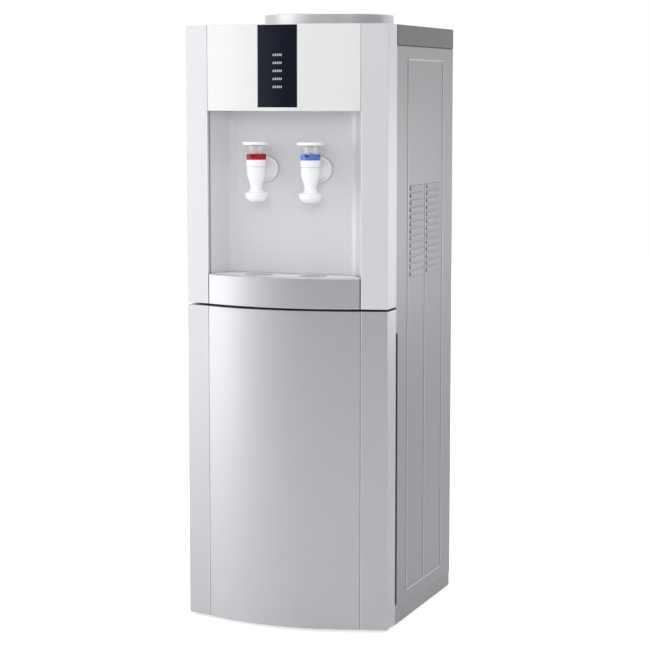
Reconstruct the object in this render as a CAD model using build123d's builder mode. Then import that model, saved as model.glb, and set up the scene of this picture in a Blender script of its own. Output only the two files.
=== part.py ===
from build123d import *
from math import sqrt
import os

# Bottom-load water cooler: a bowed front over a metal casing, two push taps in an alcove, and a lower
# cabinet that hides the bottle, a suction probe and its hose. Millimetres. +X is to the right of someone
# facing the front, +Y to the back, +Z up; the origin is on the floor under the middle of the cooler.

os.makedirs("parts", exist_ok=True)

# ---- driving dimensions: outer form ----
width = 360.0  # over the cheeks and the top cover
body_depth = 362.0  # front corners to the back panel's face
bow_depth = 37.0  # middle of the front, ahead of the front corners
strip_rise = 10.0  # the part of the bow made by the flat side strips
seam_x = 137.0  # half width of the bowed middle
cheek_depth = 44.0  # front corners to the cheeks' rear edge
groove = 6.0  # shadow gap between the cheeks and the casing
rear_reach = 14.0  # what stands out behind the back panel
corner_r = 2.0  # front vertical corners
edge_r = 0.8  # rounded edges of the bowed panels

foot_height = 3.0
door_bottom_z = 6.0
door_height = 536.0
split_gap = 4.0  # between the door and the upper front
upper_height = 466.0
plinth_height = 23.5
cover_height = 33.0

shell_wall = 3.0  # moulded fronts
panel_wall = 3.0  # bowed panels that lie in the fronts
panel_gap = 0.3  # behind and beside those panels
liner_wall = 2.5  # moulded liners
sheet = 0.8  # painted steel sheet
casing_inset = 2.0  # the sheet lies this far inside the cheeks
seat_gap = 0.3  # clearance where one piece seats on another

spigot_r = 4.0  # every water connection is a plain spigot of this size
spigot_bore_r = 2.6
hose_bore_r = spigot_r + 0.05
hose_r = 5.6

# ---- derived planes ----
half_width = width / 2
overall_depth = bow_depth + body_depth + rear_reach
front_y = bow_depth - overall_depth / 2
rear_y = front_y + body_depth
cheek_back_y = front_y + cheek_depth
casing_front_y = cheek_back_y + groove
door_top_z = door_bottom_z + door_height
split_z = door_top_z + split_gap
top_z = split_z + upper_height
plinth_top_z = foot_height + plinth_height
cover_z = top_z - cover_height
casing_x = half_width - casing_inset
casing_inner_x = casing_x - sheet
panel_recess = panel_wall + panel_gap
strip_slope = strip_rise / (half_width - seam_x)
bow_rise = bow_depth - strip_rise
bow_radius = (seam_x**2 + bow_rise**2) / (2 * bow_rise)
bow_centre_y = front_y - bow_depth + bow_radius


def bow_y(x, inset=0.0):
    """Y of the bowed front at x, on an arc that lies inset behind it."""
    return bow_centre_y - sqrt((bow_radius - inset) ** 2 - x**2)


def front_plan(back_y):
    """Filled plan of a front moulding: cheeks, flat strips and the set-back seat of a bowed panel."""
    seat_y = bow_y(seam_x, panel_recess)
    strip_y = front_y - strip_rise
    with BuildSketch() as plan:
        with BuildLine():
            Polyline(
                (seam_x, seat_y),
                (seam_x, strip_y),
                (half_width, front_y),
                (half_width, back_y),
                (-half_width, back_y),
                (-half_width, front_y),
                (-seam_x, strip_y),
                (-seam_x, seat_y),
            )
            ThreePointArc((-seam_x, seat_y), (0, bow_y(0, panel_recess)), (seam_x, seat_y))
        make_face()
        corners = plan.vertices().filter_by_position(Axis.Y, front_y - 0.1, front_y + 0.1)
        fillet(corners, radius=corner_r)
    return plan.sketch


def bowed_band(half, inset, thickness):
    """Plan of a panel that follows the bowed front, from inset to inset plus thickness behind it."""
    with BuildSketch() as band:
        with Locations((0, front_y)):
            Rectangle(2 * half, 2 * bow_depth + 2 * thickness)
        with Locations((0, bow_centre_y)):
            Circle(bow_radius - inset, mode=Mode.INTERSECT)
            Circle(bow_radius - inset - thickness, mode=Mode.SUBTRACT)
    return band.sketch


def behind_bow(inset):
    """Everything behind the arc that lies inset behind the bowed front."""
    with BuildSketch() as area:
        with Locations((0, bow_centre_y)):
            Circle(bow_radius - inset)
    return area.sketch


# ---- base: plinth and feet ----
foot_r = 16.0
foot_stem_r = 5.0
foot_stem = 8.0
foot_x = half_width - 32.0
foot_front_y = casing_front_y + 32.0
foot_rear_y = rear_y - 30.0
foot_boss_r = 12.0
plinth_rib = 3.0
foot_places = [(x, y) for x in (-foot_x, foot_x) for y in (foot_front_y, foot_rear_y)]
plinth_length = rear_y - casing_front_y
plinth_mid_y = (rear_y + casing_front_y) / 2

hinge_inset = 12.0  # hinge axis inside the left cheek and ahead of the cheek's rear edge
hinge_x = -(half_width - hinge_inset)
hinge_y = cheek_back_y - hinge_inset
hinge_boss_r = 9.0
hinge_plate = 1.6
bracket_width = 36.0
bracket_reach = 18.0  # how far the brackets run into the casing
bracket_zs = (foot_height, door_top_z + (split_gap - hinge_plate) / 2)

with BuildPart() as base_plinth:
    with BuildSketch(Plane.XY.offset(foot_height)):
        with Locations((0, plinth_mid_y)):
            Rectangle(2 * casing_x, plinth_length)
    extrude(amount=plinth_height)
    fillet(base_plinth.edges().filter_by(Axis.Z).group_by(Axis.Y)[-1], radius=4)
    offset(amount=-shell_wall, openings=base_plinth.faces().sort_by(Axis.Z)[0])
    with BuildSketch(Plane.XY.offset(plinth_top_z - shell_wall)):
        with Locations(*foot_places):
            Circle(foot_boss_r)
        with Locations((0, plinth_mid_y)):
            Rectangle(plinth_rib, plinth_length - shell_wall)
        with Locations((0, foot_front_y), (0, foot_rear_y)):
            Rectangle(2 * foot_x, plinth_rib)
        with Locations((hinge_x - hinge_boss_r + seat_gap, casing_front_y)):
            Rectangle(bracket_width, bracket_reach, align=(Align.MIN, Align.MIN))
    extrude(amount=-(plinth_height - shell_wall))
    with BuildSketch(Plane.XY.offset(foot_height)):
        with Locations(*foot_places):
            Circle(foot_stem_r)
    extrude(amount=foot_stem + seat_gap, mode=Mode.SUBTRACT)
    # step that takes the lower hinge bracket
    with BuildSketch(Plane.XY.offset(foot_height)):
        with Locations((hinge_x - hinge_boss_r - hinge_inset, casing_front_y)):
            Rectangle(
                bracket_width + hinge_inset + seat_gap,
                bracket_reach + seat_gap,
                align=(Align.MIN, Align.MIN),
            )
    extrude(amount=hinge_plate + seat_gap, mode=Mode.SUBTRACT)
base_plinth.part.label = "base_plinth"
export_step(base_plinth.part, "parts/base_plinth.step")

with BuildPart() as feet:
    with BuildSketch():
        with Locations(*foot_places):
            Circle(foot_r)
    extrude(amount=foot_height)
    chamfer(feet.edges().filter_by(GeomType.CIRCLE).group_by(Axis.Z)[0], length=0.8)
    with BuildSketch(Plane.XY.offset(foot_height)):
        with Locations(*foot_places):
            Circle(foot_stem_r)
    extrude(amount=foot_stem)
feet.part.label = "feet"
export_step(feet.part, "parts/feet.step")

# ---- side panels: beaded, louvred sheet ----
panel_front_y = casing_front_y
panel_bottom_z = plinth_top_z + seat_gap
panel_top_z = cover_z - seat_gap
panel_mid_z = (panel_bottom_z + panel_top_z) / 2
bead_height = 0.9
bead_width = 3.4
bead_edge_r = 0.7
bead_front_y = front_y + 108.0
bead_middle_y = front_y + 204.0
bead_rear_y = front_y + 305.5
bead_bottom_z = door_bottom_z + 42.0
bead_top_z = cover_z - 21.5
bead_middle_top_z = split_z + 201.0
bead_corner_r = 12.0
hem = 10.0  # folded rear edge

louvre_rows = 13
louvre_pitch = 12.1
louvre_height = 8.0
louvre_first_z = split_z + 45.5
louvre_columns = [(front_y + 122.6, 70.4), (front_y + 211.5, 73.5)]  # start and length of each column
louvre_rise = casing_inset
louvre_tilt = 1.0  # vertical lip at the foot of each hood
vent_rows = [(louvre_first_z + row * louvre_pitch) for row in range(louvre_rows)]

grip_top_z = door_top_z - 41.0
grip_depth = 10.0
grip_bottom_z = door_bottom_z + 30.0


def louvre_section(face_x, rise, height):
    """Closed section of one pressed hood, standing on the plane x = face_x, seen along the sheet."""
    with BuildSketch() as hood:
        with BuildLine():
            Polyline((face_x, height), (face_x, 0), (face_x + rise, 0), (face_x + rise, louvre_tilt))
            ThreePointArc(
                (face_x + rise, louvre_tilt),
                (face_x + 0.62 * rise, louvre_tilt + 0.56 * (height - louvre_tilt)),
                (face_x, height),
            )
        make_face()
    return hood.sketch


with BuildPart() as side_sheet:
    with BuildSketch(Plane.XY.offset(panel_bottom_z)):
        with Locations((casing_inner_x, panel_front_y)):
            Rectangle(sheet, rear_y - sheet - seat_gap - panel_front_y, align=(Align.MIN, Align.MIN))
        with Locations((casing_x, rear_y - sheet - seat_gap)):
            Rectangle(hem, sheet, align=(Align.MAX, Align.MAX))
    extrude(amount=panel_top_z - panel_bottom_z)
    # raised beads: a frame round the flat and a short one down its middle
    with BuildSketch(Plane.YZ.offset(casing_x)) as beads:
        with BuildLine():
            Polyline(
                (bead_front_y, bead_bottom_z),
                (bead_rear_y, bead_bottom_z),
                (bead_rear_y, bead_top_z),
                (bead_front_y, bead_top_z),
                close=True,
            )
        make_face()
        fillet(beads.vertices().group_by(Axis.X)[-1].sort_by(Axis.Y)[0], radius=bead_corner_r)
        offset(amount=-bead_width, kind=Kind.INTERSECTION, mode=Mode.SUBTRACT)
        with Locations((bead_middle_y, bead_bottom_z)):
            Rectangle(bead_width, bead_middle_top_z - bead_bottom_z, align=(Align.CENTER, Align.MIN))
    extrude(amount=bead_height)
    fillet(side_sheet.faces().sort_by(Axis.X)[-1].edges(), radius=bead_edge_r)
    # pressed louvres: hoods first, then their hollows and slots
    for start_y, length in louvre_columns:
        with BuildSketch(Plane.XZ.offset(-start_y)):
            with Locations(*[(0, z) for z in vent_rows]):
                add(louvre_section(casing_x, louvre_rise, louvre_height))
        extrude(amount=-length)
    for start_y, length in louvre_columns:
        with BuildSketch(Plane.XZ.offset(-(start_y + sheet))):
            with Locations(*[(0, z) for z in vent_rows]):
                add(louvre_section(casing_inner_x, louvre_rise, louvre_height - sheet))
        extrude(amount=-(length - 2 * sheet), mode=Mode.SUBTRACT)

with BuildPart() as left_side_panel:
    mirror(side_sheet.part, about=Plane.YZ)
left_side_panel.part.label = "left_side_panel"
export_step(left_side_panel.part, "parts/left_side_panel.step")

with BuildPart() as right_side_panel:
    add(side_sheet.part)
    # cut back beside the door for the fingers
    with BuildSketch(Plane.YZ.offset(casing_inner_x)):
        with Locations((panel_front_y, grip_bottom_z)):
            Rectangle(grip_depth - seat_gap, grip_top_z - grip_bottom_z, align=(Align.MIN, Align.MIN))
    extrude(amount=sheet, mode=Mode.SUBTRACT)
    grip_corners = right_side_panel.edges().filter_by(Axis.X).filter_by_position(
        Axis.Y, panel_front_y + grip_depth - 1, panel_front_y + grip_depth + 1
    )
    fillet(grip_corners, radius=grip_depth / 2)
right_side_panel.part.label = "right_side_panel"
export_step(right_side_panel.part, "parts/right_side_panel.step")

# ---- upper front frame ----
alcove_top_z = split_z + 324.5
alcove_back_y = front_y + 38.0
alcove_back_half = 112.0
alcove_corner_r = 20.0
mouth_y = bow_y(seam_x + shell_wall, panel_recess + shell_wall) + seat_gap
window_half = 35.0
window_bottom_z = split_z + 330.5
window_top_z = top_z - 1.0
light_half = 24.0  # opening behind the window for the lamps
light_bottom_z = split_z + 348.0
light_top_z = split_z + 435.0
board_y = front_y - 24.0  # front face of the display board
board_half = 30.0
board_post_r = 3.0
board_post_x = 27.0
board_post_zs = (light_bottom_z - 8.0, light_top_z + 8.0)
lip_reach = 10.0
lip_out_x = casing_inner_x - seat_gap
lip_in_x = half_width - shell_wall - panel_wall

with BuildPart() as front_frame:
    with BuildSketch(Plane.XY.offset(split_z)):
        add(front_plan(cheek_back_y))
    extrude(amount=upper_height)
    offset(amount=-shell_wall, openings=front_frame.faces().sort_by(Axis.Y)[-1])
    # alcove mouth between the two seams
    with BuildSketch(Plane.XY.offset(split_z + shell_wall)):
        with Locations((0, cheek_back_y)):
            Rectangle(2 * seam_x, 2 * cheek_depth + bow_depth, align=(Align.CENTER, Align.MAX))
    extrude(amount=alcove_top_z - split_z - shell_wall, mode=Mode.SUBTRACT)
    # light opening and posts for the display board
    with BuildSketch(Plane.XZ.offset(-board_y)):
        with Locations((0, (light_bottom_z + light_top_z) / 2)):
            Rectangle(2 * light_half, light_top_z - light_bottom_z)
    extrude(amount=bow_depth, mode=Mode.SUBTRACT)
    with BuildSketch(Plane.XZ.offset(-(board_y - seat_gap))):
        with Locations(*[(x, z) for x in (-board_post_x, board_post_x) for z in board_post_zs]):
            Circle(board_post_r)
    extrude(amount=board_y - seat_gap - bow_y(board_post_x, panel_recess + shell_wall / 2))
    # jogged lips that slide inside the side panels
    with BuildSketch(Plane.XY.offset(split_z + shell_wall)):
        with BuildLine():
            Polyline(
                (lip_in_x, cheek_back_y - 2 * shell_wall),
                (half_width - shell_wall / 2, cheek_back_y - 2 * shell_wall),
                (half_width - shell_wall / 2, cheek_back_y - 1),
                (lip_out_x, cheek_back_y),
                (lip_out_x, casing_front_y + lip_reach),
                (lip_in_x, casing_front_y + lip_reach),
                close=True,
            )
        make_face()
        mirror(about=Plane.YZ)
    extrude(amount=cover_z - split_z - 2 * shell_wall)
front_frame.part.label = "front_frame"
export_step(front_frame.part, "parts/front_frame.step")

with BuildPart() as fascia_panel:
    with BuildSketch(Plane.XY.offset(alcove_top_z)):
        add(bowed_band(seam_x - panel_gap, 0, panel_wall))
    extrude(amount=top_z - alcove_top_z)
    fillet(fascia_panel.faces().sort_by(Axis.Y)[0].edges(), radius=edge_r)
    with BuildSketch(Plane.XZ.offset(-front_y)):
        with Locations((0, window_bottom_z)):
            Rectangle(2 * window_half, window_top_z - window_bottom_z, align=(Align.CENTER, Align.MIN))
    extrude(amount=2 * bow_depth, mode=Mode.SUBTRACT)
fascia_panel.part.label = "fascia_panel"
export_step(fascia_panel.part, "parts/fascia_panel.step")

window_set_back = 0.4
with BuildPart() as display_window:
    with BuildSketch(Plane.XY.offset(window_bottom_z + panel_gap)):
        add(bowed_band(window_half - panel_gap, window_set_back, panel_wall - window_set_back))
    extrude(amount=window_top_z - window_bottom_z - 2 * panel_gap)
display_window.part.label = "display_window"
export_step(display_window.part, "parts/display_window.step")

board_thickness = 1.6
lamp_r = 1.6
lamp_height = 2.5
lamp_pitch = 13.0
lamp_top_z = split_z + 416.0
lamp_count = 5
with BuildPart() as display_board:
    with BuildSketch(Plane.XZ.offset(-(board_y + board_thickness))):
        with Locations((0, (board_post_zs[0] + board_post_zs[1]) / 2)):
            Rectangle(2 * board_half, board_post_zs[1] - board_post_zs[0] + 4 * board_post_r)
    extrude(amount=board_thickness)
    with BuildSketch(Plane.XZ.offset(-board_y)):
        with Locations(*[(0, lamp_top_z - step * lamp_pitch) for step in range(lamp_count)]):
            Circle(lamp_r)
    extrude(amount=lamp_height)
display_board.part.label = "display_board"
export_step(display_board.part, "parts/display_board.step")

# ---- alcove liner ----
tray_floor_z = split_z + shell_wall + seat_gap
tap_x = 48.3
tap_axis_z = split_z + 227.2  # centre of the wall flanges
tail_r = 9.0
flange_in_x = seam_x + shell_wall + seat_gap
flange_out_x = flange_in_x + 15.0


def strip_back_y(x):
    """Y just behind the flat strip's inner face at x."""
    return front_y - strip_rise + shell_wall + 2 * seat_gap + strip_slope * (x - seam_x)


def alcove_plan(inset=0.0):
    """Plan of the alcove's hollow drawn in by inset: straight at the mouth, tapering to the back wall."""
    mouth = seam_x - inset
    back = alcove_back_half - inset
    with BuildSketch() as plan:
        with BuildLine():
            Polyline(
                (-mouth, front_y - bow_depth),
                (-mouth, mouth_y),
                (-back, alcove_back_y - inset),
                (back, alcove_back_y - inset),
                (mouth, mouth_y),
                (mouth, front_y - bow_depth),
                close=True,
            )
        make_face()
        fillet(plan.vertices().group_by(Axis.Y)[-1], radius=alcove_corner_r - inset)
    return plan.sketch


with BuildPart() as alcove_liner:
    with BuildSketch(Plane.XY.offset(tray_floor_z)):
        add(alcove_plan(-liner_wall))
        add(alcove_plan(), mode=Mode.SUBTRACT)
        with Locations((0, mouth_y)):
            Rectangle(2 * width, width, align=(Align.CENTER, Align.MAX), mode=Mode.SUBTRACT)
        # hooked flanges that lie against the back of the strips
        with BuildLine():
            Polyline(
                (seam_x, mouth_y),
                (flange_in_x, mouth_y),
                (flange_in_x, strip_back_y(flange_in_x)),
                (flange_out_x, strip_back_y(flange_out_x)),
                (flange_out_x, strip_back_y(flange_out_x) + liner_wall),
                (flange_in_x + liner_wall, strip_back_y(flange_in_x) + 2 * liner_wall),
                (flange_in_x + liner_wall, mouth_y + liner_wall),
                (seam_x, mouth_y + liner_wall),
                close=True,
            )
        flange_face = make_face()
        mirror(flange_face, about=Plane.YZ)
    extrude(amount=alcove_top_z - tray_floor_z)
    with BuildSketch(Plane.XY.offset(alcove_top_z)):
        add(alcove_plan(-liner_wall))
        add(behind_bow(panel_recess + shell_wall + seat_gap), mode=Mode.INTERSECT)
        with Locations((0, mouth_y)):
            Rectangle(2 * width, width, align=(Align.CENTER, Align.MAX), mode=Mode.SUBTRACT)
    extrude(amount=liner_wall)
    with BuildSketch(Plane.XZ.offset(-alcove_back_y)):
        with Locations((-tap_x, tap_axis_z), (tap_x, tap_axis_z)):
            Circle(tail_r + seat_gap)
    extrude(amount=-2 * liner_wall, mode=Mode.SUBTRACT)
alcove_liner.part.label = "alcove_liner"
export_step(alcove_liner.part, "parts/alcove_liner.step")

# ---- drip tray and grille ----
tray_gap = 1.2  # to the seams and the alcove walls
tray_wall = 2.5
tray_top_z = split_z + 51.0
grille_thickness = 3.0
grille_gap = 0.5
rim_wall = 3.0
tray_edge_r = 2.5
slot_length = 32.0
slot_width = 3.4
slot_pitch_x = 37.0
slot_pitch_y = 9.0
slot_mid_y = front_y + 3.0
dish_r = 24.0
dish_depth = 0.8
grille_z = tray_top_z - grille_thickness

with BuildPart() as drip_tray:
    with BuildSketch(Plane.XY.offset(tray_floor_z)):
        add(alcove_plan(tray_gap))
        add(behind_bow(0), mode=Mode.INTERSECT)
    extrude(amount=tray_top_z - tray_floor_z)
    # skirt in front of the frame's floor
    with BuildSketch(Plane.XY.offset(split_z)):
        add(bowed_band(seam_x - tray_gap, 0, panel_wall))
    extrude(amount=tray_floor_z - split_z)
    fillet(drip_tray.edges().group_by(Axis.Z)[-1].sort_by(Axis.Y)[0], radius=tray_edge_r)
    with BuildSketch(Plane.XY.offset(tray_floor_z + tray_wall)):
        add(alcove_plan(tray_gap + rim_wall + tray_wall))
        add(behind_bow(rim_wall + tray_wall), mode=Mode.INTERSECT)
    extrude(amount=tray_top_z - tray_floor_z, mode=Mode.SUBTRACT)
    with BuildSketch(Plane.XY.offset(grille_z)):
        add(alcove_plan(tray_gap + rim_wall))
        add(behind_bow(rim_wall), mode=Mode.INTERSECT)
    extrude(amount=grille_thickness, mode=Mode.SUBTRACT)
drip_tray.part.label = "drip_tray"
export_step(drip_tray.part, "parts/drip_tray.step")

with BuildPart() as drip_grille:
    with BuildSketch(Plane.XY.offset(grille_z + seat_gap)):
        add(alcove_plan(tray_gap + rim_wall + grille_gap))
        add(behind_bow(rim_wall + grille_gap), mode=Mode.INTERSECT)
    extrude(amount=grille_thickness - seat_gap)
    # round shallow dishes that centre a cup under each tap
    with BuildSketch(Plane.XY.offset(tray_top_z - dish_depth)):
        with Locations((-tap_x, slot_mid_y), (tap_x, slot_mid_y)):
            Circle(dish_r)
    extrude(amount=dish_depth, mode=Mode.SUBTRACT)
    with BuildSketch(Plane.XY.offset(grille_z)):
        with Locations((0, slot_mid_y)):
            with GridLocations(slot_pitch_x, slot_pitch_y, 6, 5):
                SlotOverall(slot_length, slot_width)
    extrude(amount=grille_thickness, mode=Mode.SUBTRACT)
drip_grille.part.label = "drip_grille"
export_step(drip_grille.part, "parts/drip_grille.step")

# ---- door ----
pin_r = 3.0
pin_length = 9.0
pin_clearance = 0.05
bush_r = 5.0
bush_length = 12.0
catch_x = half_width - 24.0
catch_half_z = 18.0
catch_width = 12.0
catch_zs = (door_bottom_z + 70.0, door_top_z - 70.0)
strike_thickness = 1.0
pan_half = half_width - 30.0
pan_bottom_z = door_bottom_z + 34.0
pan_top_z = door_top_z - 34.0
pan_depth = 24.0
pan_corner_r = 14.0
door_liner_y = cheek_back_y - shell_wall

with BuildPart() as door_frame:
    with BuildSketch(Plane.XY.offset(door_bottom_z)):
        add(front_plan(cheek_back_y))
    extrude(amount=door_height)
    offset(amount=-shell_wall, openings=door_frame.faces().sort_by(Axis.Y)[-1])
    # bosses that hold the hinge bushes
    with BuildSketch(Plane.XY.offset(door_bottom_z)):
        with Locations((hinge_x, hinge_y)):
            Circle(hinge_boss_r)
    extrude(amount=bush_length + shell_wall)
    with BuildSketch(Plane.XY.offset(door_top_z)):
        with Locations((hinge_x, hinge_y)):
            Circle(hinge_boss_r)
    extrude(amount=-(bush_length + shell_wall))
    with Locations((hinge_x, hinge_y, door_bottom_z)):
        Cylinder(
            bush_r, bush_length, align=(Align.CENTER, Align.CENTER, Align.MIN), mode=Mode.SUBTRACT
        )
    with Locations((hinge_x, hinge_y, door_top_z)):
        Cylinder(
            bush_r, bush_length, align=(Align.CENTER, Align.CENTER, Align.MAX), mode=Mode.SUBTRACT
        )
door_frame.part.label = "door_frame"
export_step(door_frame.part, "parts/door_frame.step")

with BuildPart() as door_panel:
    with BuildSketch(Plane.XY.offset(door_bottom_z)):
        add(bowed_band(seam_x - panel_gap, 0, panel_wall))
    extrude(amount=door_height)
    fillet(door_panel.faces().sort_by(Axis.Y)[0].edges(), radius=edge_r)
door_panel.part.label = "door_panel"
export_step(door_panel.part, "parts/door_panel.step")

with BuildPart() as door_bushes:
    for z, up in ((door_bottom_z, Align.MIN), (door_top_z, Align.MAX)):
        with Locations((hinge_x, hinge_y, z)):
            Cylinder(bush_r - pin_clearance, bush_length, align=(Align.CENTER, Align.CENTER, up))
            Cylinder(
                pin_r + pin_clearance,
                bush_length,
                align=(Align.CENTER, Align.CENTER, up),
                mode=Mode.SUBTRACT,
            )
door_bushes.part.label = "door_bushes"
export_step(door_bushes.part, "parts/door_bushes.step")

with BuildPart() as door_liner:
    with BuildSketch(Plane.XZ.offset(-(cheek_back_y - seat_gap))):
        with Locations((0, (door_bottom_z + door_top_z) / 2)):
            Rectangle(2 * (half_width - shell_wall - seat_gap), door_height - 2 * (shell_wall + seat_gap))
        # clear of the hinge bosses
        for z in (door_bottom_z, door_top_z):
            with Locations((hinge_x, z)):
                Rectangle(
                    2 * (hinge_boss_r + seat_gap),
                    2 * (bush_length + shell_wall + seat_gap),
                    mode=Mode.SUBTRACT,
                )
    extrude(amount=liner_wall)
    with BuildSketch(Plane.XZ.offset(-(cheek_back_y - seat_gap))):
        with Locations((0, (pan_bottom_z + pan_top_z) / 2)):
            RectangleRounded(2 * pan_half, pan_top_z - pan_bottom_z, pan_corner_r)
    extrude(amount=pan_depth)
    with BuildSketch(Plane.XZ.offset(-(cheek_back_y - seat_gap))):
        with Locations((0, (pan_bottom_z + pan_top_z) / 2)):
            RectangleRounded(
                2 * (pan_half - liner_wall),
                pan_top_z - pan_bottom_z - 2 * liner_wall,
                pan_corner_r - liner_wall,
            )
    extrude(amount=pan_depth - liner_wall, mode=Mode.SUBTRACT)
door_liner.part.label = "door_liner"
export_step(door_liner.part, "parts/door_liner.step")

with BuildPart() as door_strikes:
    with BuildSketch(Plane.XZ.offset(-cheek_back_y)):
        with Locations(*[(catch_x, z) for z in catch_zs]):
            Rectangle(catch_width, 2 * catch_half_z)
    extrude(amount=-strike_thickness)
door_strikes.part.label = "door_strikes"
export_step(door_strikes.part, "parts/door_strikes.step")

with BuildPart() as hinge_brackets:
    for z, pin_up in zip(bracket_zs, (1, -1)):
        pin_base = z + hinge_plate if pin_up > 0 else z
        with BuildSketch(Plane.XY.offset(z)):
            with Locations((hinge_x, hinge_y)):
                Circle(hinge_boss_r)
            with Locations((hinge_x - hinge_boss_r, hinge_y)):
                Rectangle(
                    bracket_width,
                    casing_front_y - hinge_y + bracket_reach,
                    align=(Align.MIN, Align.MIN),
                )
        extrude(amount=hinge_plate)
        with BuildSketch(Plane.XY.offset(pin_base)):
            with Locations((hinge_x, hinge_y)):
                Circle(pin_r)
        extrude(amount=pin_up * pin_length)
hinge_brackets.part.label = "hinge_brackets"
export_step(hinge_brackets.part, "parts/hinge_brackets.step")

# ---- push taps ----
tap_y = front_y - 9.5  # spout and button axis
spout_bottom_z = tap_axis_z - 53.6
flare_z = tap_axis_z - 38.2
neck_z = tap_axis_z - 30.0
seam_z = tap_axis_z + 5.2  # under the screw cap
cap_top_z = tap_axis_z + 16.8
ring_top_z = cap_top_z + 10.0
disc_top_z = tap_axis_z + 44.3
disc_thickness = 3.0
disc_r = 23.2
button_travel = 6.0
bulb_r = 16.2
neck_r = 10.2
flare_r = 19.2
tap_cap_r = 16.9
collar_neck_r = 13.0
chamber_r = 9.0
seat_top_z = tap_axis_z - 15.0
seat_thickness = 3.0
seat_bore_r = 5.5
lower_bore_r = 7.5
outlet_r = 6.5
stem_r = 4.0
thin_stem_r = 2.5
stem_flange_r = 7.5
stem_gap = 0.4
boss_wall = 2.1
ring_floor = 1.8
ring_wall = 1.5
funnel_low_r = 10.5
funnel_high_r = 17.8
funnel_wall = 1.3
arm_r = 9.8
arm_z = tap_axis_z - 7.0
arm_length = 18.0  # straight part of the arm behind the spout axis
wall_flange_r = 21.3
wall_flange = 4.0
gasket = 1.2
tail_length = 24.0
thread_length = 12.0
inlet_r = 4.5
nut_flats_r = 14.0
nut_height = 8.0
valve_r = 6.9
valve_height = 4.0
spring_wire_r = 0.6
spring_r = 6.7
spring_turns = 6
flange_front_y = alcove_back_y - gasket - wall_flange
tail_end_y = alcove_back_y + tail_length
thread_end_y = alcove_back_y + thread_length
stem_flange_z = cap_top_z - 2.2
valve_top_z = seat_top_z - seat_thickness - seat_gap

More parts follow.
